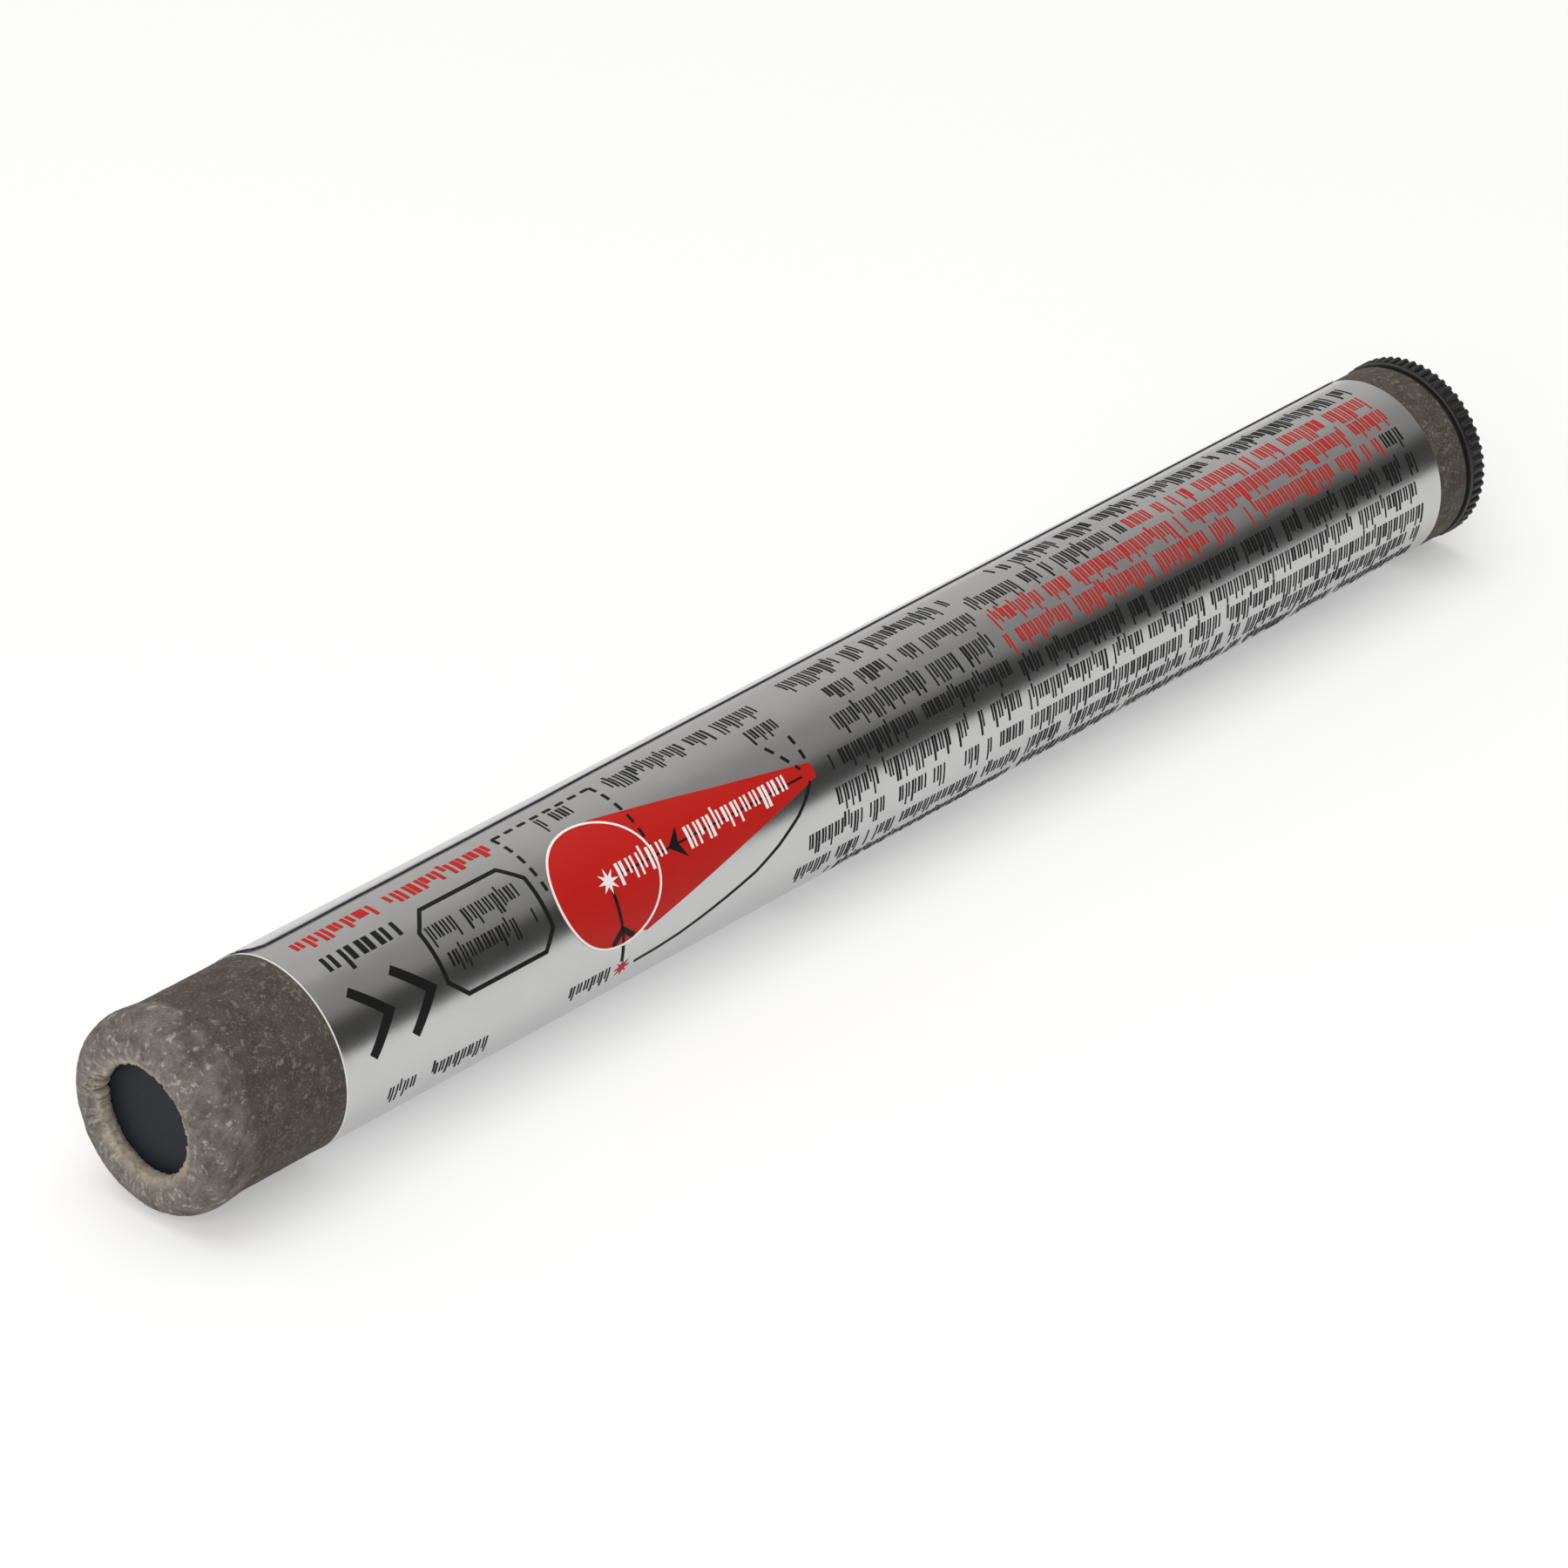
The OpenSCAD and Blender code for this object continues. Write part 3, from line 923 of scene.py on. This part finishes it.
def build_stroke_lines():
    """Geometry Nodes that set plain strokes along line edges and wrap them round the label."""
    socket = "NodeSocketFloat"
    inputs = {
        "Lines": ("NodeSocketGeometry", None), "Pitch": (socket, 0.0004), "Stroke": (socket, 0.0002),
        "Pair Shift": (socket, 0.00006), "Gap Chance": (socket, 0.07), "Tall Chance": (socket, 0.35),
        "Ink Thickness": (socket, 0.00002), "Sunk": (socket, 0.000004), "Radius": (socket, 0.01),
        "Start X": (socket, 0.0), "Axis Height": (socket, 0.01), "Seed": ("NodeSocketInt", 0),
        "Ink": ("NodeSocketMaterial", None),
    }
    outputs = {"Print": "NodeSocketGeometry"}
    tree, start, end = new_group("Stroke Lines", "GeometryNodeTree", inputs, outputs)
    given = start.outputs
    curves = geometry_node(tree, "MeshToCurve", {"Mesh": given["Lines"]})
    spaced = {"Curve": curves, "Length": given["Pitch"]}
    points = geometry_node(tree, "CurveToPoints", spaced, mode="LENGTH")
    index = geometry_node(tree, "InputIndex")

    def chance(identity, amount, shift):
        """Whether a random number for this stroke is under a chance."""
        seed = maths(tree, "ADD", given["Seed"], float(shift))
        inputs = {2: 0.0, 3: 1.0, "ID": identity, "Seed": seed}
        rolled = add_node(tree, "FunctionNodeRandomValue", inputs, data_type="FLOAT")
        return maths(tree, "LESS_THAN", rolled.outputs[1], amount)

    previous = maths(tree, "SUBTRACT", index, 1.0)
    starts, ends = chance(index, given["Gap Chance"], 1), chance(previous, given["Gap Chance"], 1)
    gap = {"Geometry": points, "Selection": maths(tree, "MAXIMUM", starts, ends)}
    words = geometry_node(tree, "DeleteGeometry", gap, domain="POINT")
    tall = geometry_node(tree, "InputNamedAttribute", {"Name": "line_height"}, data_type="FLOAT")
    share = scaled(tree, chance(index, given["Tall Chance"], 2), 0.32, 0.68)
    wide = scaled(tree, chance(index, 0.3, 3), 0.35, 0.85)
    low_end = times(tree, chance(index, 0.08, 4), times(tree, tall, -0.22))
    pair = times(tree, maths(tree, "MODULO", index, 2.0), given["Pair Shift"])
    shifted = {"Geometry": words, "Offset": vector(tree, pair, low_end)}
    shifted = geometry_node(tree, "SetPosition", shifted)
    size = vector(tree, given["Stroke"], 1.0, given["Ink Thickness"])
    bar = {"Size": size, "Vertices X": 2, "Vertices Y": 4, "Vertices Z": 2}
    bar = geometry_node(tree, "MeshCube", bar)
    half = maths(tree, "SUBTRACT", times(tree, given["Ink Thickness"], 0.5), given["Sunk"])
    bar = {"Geometry": bar, "Translation": vector(tree, 0.0, 0.5, half)}
    bar = geometry_node(tree, "Transform", bar)
    scale = vector(tree, wide, times(tree, tall, share), 1.0)
    strokes = {"Points": shifted, "Instance": bar, "Scale": scale}
    strokes = geometry_node(tree, "InstanceOnPoints", strokes)
    flat = geometry_node(tree, "RealizeInstances", {"Geometry": strokes})
    parts = {0: geometry_node(tree, "InputPosition")}
    parts = add_node(tree, "ShaderNodeSeparateXYZ", parts).outputs
    turn = maths(tree, "DIVIDE", parts["Y"], given["Radius"])
    reach = maths(tree, "ADD", parts["Z"], given["Radius"])
    front = times(tree, times(tree, reach, maths(tree, "SINE", turn)), -1.0)
    up = maths(tree, "MULTIPLY_ADD", reach, maths(tree, "COSINE", turn), given["Axis Height"])
    along = maths(tree, "ADD", parts["X"], given["Start X"])
    wrapped = {"Geometry": flat, "Position": vector(tree, along, front, up)}
    wrapped = geometry_node(tree, "SetPosition", wrapped)
    turned = geometry_node(tree, "FlipFaces", {"Mesh": wrapped})
    return end_tree(tree, end, turned, given["Ink"])


def build_lines(name, lines, ink, tree, values):
    """Lines of plain strokes in one ink."""
    mesh = bpy.data.meshes.new(name + "_edges")
    corners, heights = [], []
    for x0, x1, low, high in lines:
        corners += [(x0 * MM, low * MM, 0.0), (x1 * MM, low * MM, 0.0)]
        heights += [(high - low) * MM] * 2
    mesh.from_pydata(corners, [(i, i + 1) for i in range(0, len(corners), 2)], [])
    mesh.attributes.new("line_height", "FLOAT", "POINT").data.foreach_set("value", heights)
    result = run_nodes(name, mesh, tree, {**values, "Ink": ink})
    return finish_piece(name, result, "tube", [], [ink])


# ---- Stopper ----


# Rotation that lays what stands along Z along the tube
LAID_ALONG = (0.0, math.pi / 2, 0.0)


def stopper_outline(settings):
    """Rings of the stopper without its ribs, from the face's middle round to the plug's inside."""
    start, end = STOPPER_LOW[0] - END_X, STOPPER_HIGH[0] - END_X
    knob, gate = end - settings.flange_width, settings.gate_depth
    flange, plug, bead = settings.flange_radius, settings.plug_radius, settings.bead
    inner = plug - settings.plug_wall
    rings = [(end - gate, 0.0), (end - gate, 1.5 * MM), (end - gate * 0.8, 1.62 * MM)]
    rings += [(end - 0.05 * MM, 1.66 * MM), (end, 1.8 * MM), (end, 4.5 * MM)]
    rings += [(end - 0.03 * MM, 7.6 * MM), (end, 7.8 * MM)]
    rings += [(end, flange - 0.45 * MM), (end - 0.06 * MM, flange - 0.2 * MM), (end - 0.25 * MM, flange)]
    rings += [(knob + 0.5 * MM, flange), (knob + 0.42 * MM, flange + 0.16 * MM)]
    rings += [(knob + 0.12 * MM, flange + 0.16 * MM), (knob + 0.03 * MM, flange + 0.08 * MM)]
    rings += [(knob, flange - 0.1 * MM)]
    rings += [(knob, settings.collar_radius), (MOUTH + 0.05 * MM, settings.collar_radius)]
    rings += [(MOUTH + 0.05 * MM, plug), (MOUTH - 1.35 * MM, plug)]
    for shoulder in (MOUTH - 2.08 * MM, MOUTH - 5.4 * MM):
        rings += [(shoulder + 0.62 * MM, plug), (shoulder + 0.47 * MM, plug + bead * 0.8)]
        rings += [(shoulder + 0.35 * MM, plug + bead), (shoulder + 0.23 * MM, plug + bead * 0.8)]
        rings += [(shoulder + 0.08 * MM, plug)]
    rings += [(start + 0.7 * MM, plug), (start + 0.25 * MM, plug - 0.35 * MM), (start, plug - 0.7 * MM)]
    rings += [(start, inner + 0.1 * MM), (start + 0.1 * MM, inner), (MOUTH - 0.7 * MM, inner)]
    return rings + [(MOUTH - 0.3 * MM, inner - 0.4 * MM), (MOUTH - 0.3 * MM, 0.0)]


def build_ribs():
    """Geometry Nodes that set round-ended ribs about a turned body."""
    socket = "NodeSocketFloat"
    inputs = {
        "Body": ("NodeSocketGeometry", None), "Rib Count": ("NodeSocketInt", 60),
        "Rib Radius": (socket, 0.0004), "Rib Length": (socket, 0.002), "Ring Radius": (socket, 0.0095),
        "Start X": (socket, 0.0), "Axis Height": (socket, 0.01), "Plastic": ("NodeSocketMaterial", None),
    }
    outputs = {"Stopper": "NodeSocketGeometry"}
    tree, start, end = new_group("Stopper Ribs", "GeometryNodeTree", inputs, outputs)
    given = start.outputs
    line = geometry_node(tree, "CurvePrimitiveLine", {"End": vector(tree, z=given["Rib Length"])})
    line = geometry_node(tree, "ResampleCurve", {"Curve": line, "Count": 12})
    way = add_node(tree, "GeometryNodeSplineParameter").outputs["Factor"]
    from_middle = maths(tree, "ABSOLUTE", scaled(tree, way, 2.0, -1.0))
    taper = maths(tree, "SQRT", maths(tree, "SUBTRACT", 1.04, maths(tree, "POWER", from_middle, 7.0)))
    radius = maths(tree, "MINIMUM", times(tree, taper, given["Rib Radius"]), given["Rib Radius"])
    line = geometry_node(tree, "SetCurveRadius", {"Curve": line, "Radius": radius})
    circle = geometry_node(tree, "CurvePrimitiveCircle", {"Resolution": 12, "Radius": 1.0})
    rib = {"Curve": line, "Profile Curve": circle, "Fill Caps": True}
    rib["Scale"] = geometry_node(tree, "InputRadius")
    rib = geometry_node(tree, "CurveToMesh", rib)
    ring = {"Vertices": given["Rib Count"], "Radius": given["Ring Radius"]}
    ring = geometry_node(tree, "MeshCircle", ring)
    ribs = geometry_node(tree, "InstanceOnPoints", {"Points": ring, "Instance": rib})
    ribs = geometry_node(tree, "RealizeInstances", {"Geometry": ribs})
    spot = vector(tree, given["Start X"], 0.0, given["Axis Height"])
    stood = {"Geometry": ribs, "Translation": spot, "Rotation": LAID_ALONG}
    stood = geometry_node(tree, "Transform", stood)
    join = add_node(tree, "GeometryNodeJoinGeometry")
    tree.links.new(stood, join.inputs[0])
    tree.links.new(given["Body"], join.inputs[0])
    return end_tree(tree, end, join.outputs[0], given["Plastic"])


def build_stopper(settings, material):
    """The push-in stopper: turned body, then a ring of ribs."""
    rings = stopper_outline(settings)
    bm = bmesh.new()
    turn_rings(bm, rings, settings.segments, lambda i, a: place(rings[i][0], rings[i][1], a))
    body = write_mesh("stopper_body", bm)
    values = {
        "Rib Count": settings.rib_count, "Rib Radius": settings.rib_radius,
        "Rib Length": settings.rib_length, "Ring Radius": settings.tip_radius - settings.rib_radius,
        "Start X": STOPPER_HIGH[0] - settings.rib_start, "Axis Height": AXIS_Z, "Plastic": material,
    }
    mesh = run_nodes("stopper_ribbed", body, build_ribs(), values)
    return finish_piece("stopper_ribbed", mesh, "stopper", ["stopper"], [material])


# ---- Stars ----


# How much shorter a rolled wall is than its case, and the turn in radians from one to the next
WALL_TRIM, WALL_TURN = 0.02 * MM, 2.4


def build_rolled_wall():
    """Geometry Nodes that roll a strip of paper into a star's wall."""
    socket = "NodeSocketFloat"
    inputs = {
        "Geometry": ("NodeSocketGeometry", None), "Turns": (socket, 4.0), "Inner Radius": (socket, 0.007),
        "Outer Radius": (socket, 0.0075), "Seam": (socket, 0.00001), "Length": (socket, 0.016),
        "Middle X": (socket, 0.0), "Axis Height": (socket, 0.01), "Turn": (socket, 0.0),
        "Paper": ("NodeSocketMaterial", None),
    }
    tree, start, end = new_group("Rolled Wall", "GeometryNodeTree", inputs, {"Wall": "NodeSocketGeometry"})
    given = start.outputs
    whole = maths(tree, "SUBTRACT", given["Outer Radius"], given["Inner Radius"])
    layer = maths(tree, "DIVIDE", whole, maths(tree, "ADD", given["Turns"], 1.0))
    half = times(tree, layer, 0.5)
    spiral = {
        "Resolution": 72, "Rotations": given["Turns"], "Height": 0.0,
        "Start Radius": maths(tree, "ADD", given["Inner Radius"], half),
        "End Radius": maths(tree, "SUBTRACT", given["Outer Radius"], half),
    }
    spiral = geometry_node(tree, "CurveSpiral", spiral)
    upright = geometry_node(tree, "SetCurveNormal", {"Curve": spiral}, mode="Z_UP")
    strip = {"Width": maths(tree, "SUBTRACT", layer, given["Seam"]), "Height": given["Length"]}
    strip = geometry_node(tree, "CurvePrimitiveQuadrilateral", strip)
    rolled = {"Curve": upright, "Profile Curve": strip, "Fill Caps": True}
    rolled = geometry_node(tree, "CurveToMesh", rolled)
    rolled = {"Geometry": rolled, "Rotation": vector(tree, z=given["Turn"])}
    rolled = geometry_node(tree, "Transform", rolled)
    spot = vector(tree, given["Middle X"], 0.0, given["Axis Height"])
    laid = {"Geometry": rolled, "Rotation": LAID_ALONG, "Translation": spot}
    laid = geometry_node(tree, "Transform", laid)
    return end_tree(tree, end, laid, given["Paper"])


# ---- Stage ----


def build_studio_light(settings):
    """The studio's own light: pale behind the pack, and a dark panel low at the front right."""
    world = bpy.data.worlds.new("studio")
    bpy.context.scene.world = world
    world.use_nodes = True
    tree = world.node_tree
    tree.nodes.clear()
    way = add_node(tree, "ShaderNodeTexCoord").outputs["Generated"]
    parts = add_node(tree, "ShaderNodeSeparateXYZ", {0: way}).outputs
    back = soft_range(tree, parts["Y"], -0.15, 0.62, 0.36, 0.66)
    level = add_node(tree, "ShaderNodeVectorMath", {0: way, 1: (1.0, 1.0, 0.0)}, operation="MULTIPLY")
    level = add_node(tree, "ShaderNodeVectorMath", {0: level.outputs[0]}, operation="NORMALIZE")
    toward = {0: level.outputs[0], 1: (0.70, -0.714, 0.0)}
    toward = add_node(tree, "ShaderNodeVectorMath", toward, operation="DOT_PRODUCT").outputs["Value"]
    beside = soft_range(tree, toward, 0.78, 0.93)
    under = soft_range(tree, parts["Z"], 0.62, 0.44)
    dark = times(tree, beside, under)
    glow = times(tree, back, scaled(tree, dark, -0.88, 1.0))
    seen = add_node(tree, "ShaderNodeLightPath").outputs["Is Camera Ray"]
    warm = {0: glow, 1: times(tree, glow, 0.985), 2: times(tree, glow, 0.95)}
    warm = add_node(tree, "ShaderNodeCombineColor", warm).outputs[0]
    shade = mix_colours(tree, seen, warm, (0.9, 0.9, 0.9))
    light = add_node(tree, "ShaderNodeBackground", {"Color": shade, "Strength": settings.room})
    end = add_node(tree, "ShaderNodeOutputWorld")
    tree.links.new(light.outputs[0], end.inputs["Surface"])
    arrange(tree)


def add_softbox(name, power, size, where, towards):
    """A square area light, turned to a point."""
    light = bpy.data.lights.new(name, "AREA")
    light.energy, light.size = power, size
    made = add_object(name, light)
    made.location = where
    made.rotation_euler = (Vector(towards) - Vector(where)).to_track_quat("-Z", "Y").to_euler()


def build_floor(settings):
    """A plain pale floor."""
    half = settings.floor_size / 2
    mesh = bpy.data.meshes.new("floor")
    corners = [(-half, -half, 0), (half, -half, 0), (half, half, 0), (-half, half, 0)]
    mesh.from_pydata(corners, [], [(0, 1, 2, 3)])
    made, tree = new_material("pale_floor")
    grain = place_group(tree, "Fine Grain", 0.02)
    inputs = {
        "Base Color": mix_colours(tree, grain["Cloud"], shaded(settings.floor, 0.97), settings.floor),
        "Roughness": 0.9, "Specular IOR Level": 0.1, "Emission Color": (1.0, 1.0, 1.0, 1.0),
        "Emission Strength": settings.floor_glow,
    }
    mesh.materials.append(finish_material(made, inputs))
    floor = add_object("floor", mesh)


def build_camera(settings):
    """The camera, in front of the curled end and above it."""
    data = bpy.data.cameras.new("camera")
    data.lens, data.sensor_width = settings.lens, 36.0
    data.clip_start, data.clip_end = 0.01, 50.0
    turn, rise = settings.camera_turn, settings.camera_rise
    back = Vector((-math.cos(turn) * math.cos(rise), -math.sin(turn) * math.cos(rise), math.sin(rise)))
    aim = place(settings.aim_along, 0.0, 0.0) + Vector((0.0, settings.aim_side, 0.0))
    camera = add_object("camera", data)
    camera.location = aim + back * settings.camera_distance
    camera.rotation_euler = back.to_track_quat("Z", "Y").to_euler()
    bpy.context.scene.camera = camera


# ---- Operators ----


def recoat(name, material):
    """Gives a CAD node its material."""
    materials = frame["nodes"][name].data.materials
    materials.clear()
    materials.append(material)


class STARPACK_OT_effects(bpy.types.Operator):
    """Build the grain and fibre effects that the materials share"""

    bl_idname = "starpack.effects"
    bl_label = "Shared Effects"

    def execute(self, context):
        build_paper_fibre()
        build_fine_grain()
        return {"FINISHED"}


class STARPACK_OT_tube(bpy.types.Operator):
    """Build the curled cardboard tube and finish its closing disc"""

    bl_idname = "starpack.tube"
    bl_label = "Cardboard Tube"

    def execute(self, context):
        settings = context.scene.tube_settings
        build_tube(settings, [card_material(settings)])
        recoat("end_disc", plastic_material("closing_disc", settings.disc, 0.42, 0.6, 0.15))
        return {"FINISHED"}


class STARPACK_OT_label(bpy.types.Operator):
    """Wrap the foil label round the tube"""

    bl_idname = "starpack.label"
    bl_label = "Foil Label"

    def execute(self, context):
        settings = context.scene.label_settings
        build_label(settings, [foil_material(settings), core_material(settings), seam_shadow_material(settings)])
        return {"FINISHED"}


class STARPACK_OT_print(bpy.types.Operator):
    """Print the label with plain shapes and lines of plain strokes"""

    bl_idname = "starpack.print"
    bl_label = "Label Print"

    def execute(self, context):
        settings = context.scene.label_settings
        black = ink_material("ink_black", settings.black, 0.5, 0.16)
        red = ink_material("ink_red", settings.red, 0.45, 0.15)
        white = ink_material("ink_white", settings.white, 0.5)
        build_shapes("print_shapes_red", red_shapes(), 0, settings, red)
        build_shapes("print_shapes_black", black_shapes(), 1, settings, black)
        build_shapes("print_shapes_white", white_shapes(), 2, settings, white)
        tree = build_stroke_lines()
        for name, lines, pitch, stroke, gaps, seed, ink in (
            ("print_small_black", SMALL_BLACK, 0.45, 0.225, 0.06, 11, black),
            ("print_small_red", SMALL_RED, 0.45, 0.235, 0.06, 12, red),
            ("print_bold_red", BOLD_RED, 0.76, 0.5, 0.04, 17, red),
            ("print_bold_black", BOLD_BLACK, 1.05, 0.56, 0.0, 14, black),
            ("print_small_white", SMALL_WHITE, 0.62, 0.3, 0.0, 15, white),
            ("print_back_black", back_lines(), 0.45, 0.225, 0.06, 16, black),
        ):
            thickness = settings.ink_thickness + (WHITE_RAISED if ink is white else 0.0)
            values = {
                "Pitch": pitch * MM, "Stroke": stroke * MM, "Pair Shift": -0.16 * pitch * MM,
                "Gap Chance": gaps, "Seed": seed, "Ink Thickness": thickness, "Sunk": INK_SUNK,
                "Radius": LABEL_RADIUS, "Start X": LABEL_LOW[0], "Axis Height": AXIS_Z,
            }
            build_lines(name, lines, ink, tree, values)
        return {"FINISHED"}


class STARPACK_OT_stopper(bpy.types.Operator):
    """Build the ribbed push-in stopper"""

    bl_idname = "starpack.stopper"
    bl_label = "Stopper"

    def execute(self, context):
        settings = context.scene.stopper_settings
        build_stopper(settings, plastic_material("stopper_black", settings.plastic, 0.38, 1.0, 0.42))
        return {"FINISHED"}


class STARPACK_OT_star_walls(bpy.types.Operator):
    """Roll the paper wall of each star"""

    bl_idname = "starpack.star_walls"
    bl_label = "Star Walls"

    def execute(self, context):
        settings = context.scene.star_settings
        paper = paper_material("star_red_paper", settings.paper, 1.4, 0.00005)
        tree = build_rolled_wall()
        for i, star in enumerate(STARS):
            low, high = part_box(star + "_case")
            outer = (high[2] - low[2]) / 2
            values = {
                "Turns": float(settings.turns), "Inner Radius": outer - settings.wall, "Outer Radius": outer,
                "Seam": settings.seam, "Length": high[0] - low[0] - WALL_TRIM,
                "Middle X": (low[0] + high[0]) / 2, "Axis Height": AXIS_Z, "Turn": i * WALL_TURN,
                "Paper": paper,
            }
            empty = bpy.data.meshes.new(star + "_strip")
            mesh = run_nodes(star + "_rolled_wall", empty, tree, values)
            finish_piece(star + "_rolled_wall", mesh, star, [star + "_case"], [paper])
        return {"FINISHED"}


class STARPACK_OT_star_fillings(bpy.types.Operator):
    """Finish the base, filling and front disc of each star"""

    bl_idname = "starpack.star_fillings"
    bl_label = "Star Fillings"

    def execute(self, context):
        settings = context.scene.star_settings
        finishes = {
            "_base": plastic_material("star_base_black", settings.base, 0.45),
            "_pellet": paper_material("pressed_charge", settings.charge, 1.6, 0.00008),
            "_front_disc": paper_material("front_disc_paper", settings.front, 1.3, 0.00005),
        }
        for star in STARS:
            for part, material in finishes.items():
                recoat(star + part, material)
        return {"FINISHED"}


class STARPACK_OT_stage(bpy.types.Operator):
    """Set up the camera, the pale floor and the soft studio light"""

    bl_idname = "starpack.stage"
    bl_label = "Stage"

    def execute(self, context):
        settings = context.scene.stage_settings
        context.scene.view_settings.view_transform = "Standard"
        build_camera(settings)
        build_floor(settings)
        build_studio_light(settings)
        middle = place(MOUTH / 2, 0.0, 0.0)
        add_softbox("overhead", settings.overhead, 1.3, (-0.1, 0.1, 1.5), middle)
        add_softbox("front", settings.front, 0.9, (-1.0, -0.7, 0.9), middle)
        return {"FINISHED"}


OPERATORS = (
    STARPACK_OT_effects,
    STARPACK_OT_tube,
    STARPACK_OT_label,
    STARPACK_OT_print,
    STARPACK_OT_stopper,
    STARPACK_OT_star_walls,
    STARPACK_OT_star_fillings,
    STARPACK_OT_stage,
)


class STARPACK_PT_sidebar(bpy.types.Panel):
    """Lists the pack's settings and the steps that build it"""

    bl_label = "Star Pack"
    bl_idname = "STARPACK_PT_sidebar"
    bl_space_type = "VIEW_3D"
    bl_region_type = "UI"
    bl_category = "Star Pack"

    def draw(self, context):
        for operator in OPERATORS:
            self.layout.operator(operator.bl_idname)
        for name, group in SETTINGS.items():
            box = self.layout.box()
            box.label(text=name.replace("_", " ").capitalize())
            for key in group.__annotations__:
                box.prop(getattr(context.scene, name), key)


def register():
    """Registers the settings, the operators and the panel."""
    for group in SETTINGS.values():
        bpy.utils.register_class(group)
    for name, group in SETTINGS.items():
        setattr(bpy.types.Scene, name, bpy.props.PointerProperty(type=group))
    for operator in OPERATORS:
        bpy.utils.register_class(operator)
    bpy.utils.register_class(STARPACK_PT_sidebar)


def unregister():
    """Takes the panel, the operators and the settings away again."""
    bpy.utils.unregister_class(STARPACK_PT_sidebar)
    for operator in reversed(OPERATORS):
        bpy.utils.unregister_class(operator)
    for name, group in SETTINGS.items():
        delattr(bpy.types.Scene, name)
        bpy.utils.unregister_class(group)


def main():
    """Builds everything in order."""
    register()
    bpy.ops.starpack.effects()
    bpy.ops.starpack.tube()
    bpy.ops.starpack.label()
    bpy.ops.starpack.print()
    bpy.ops.starpack.stopper()
    bpy.ops.starpack.star_walls()
    bpy.ops.starpack.star_fillings()
    bpy.ops.starpack.stage()
    bpy.context.view_layer.update()


if __name__ == "__main__":
    main()
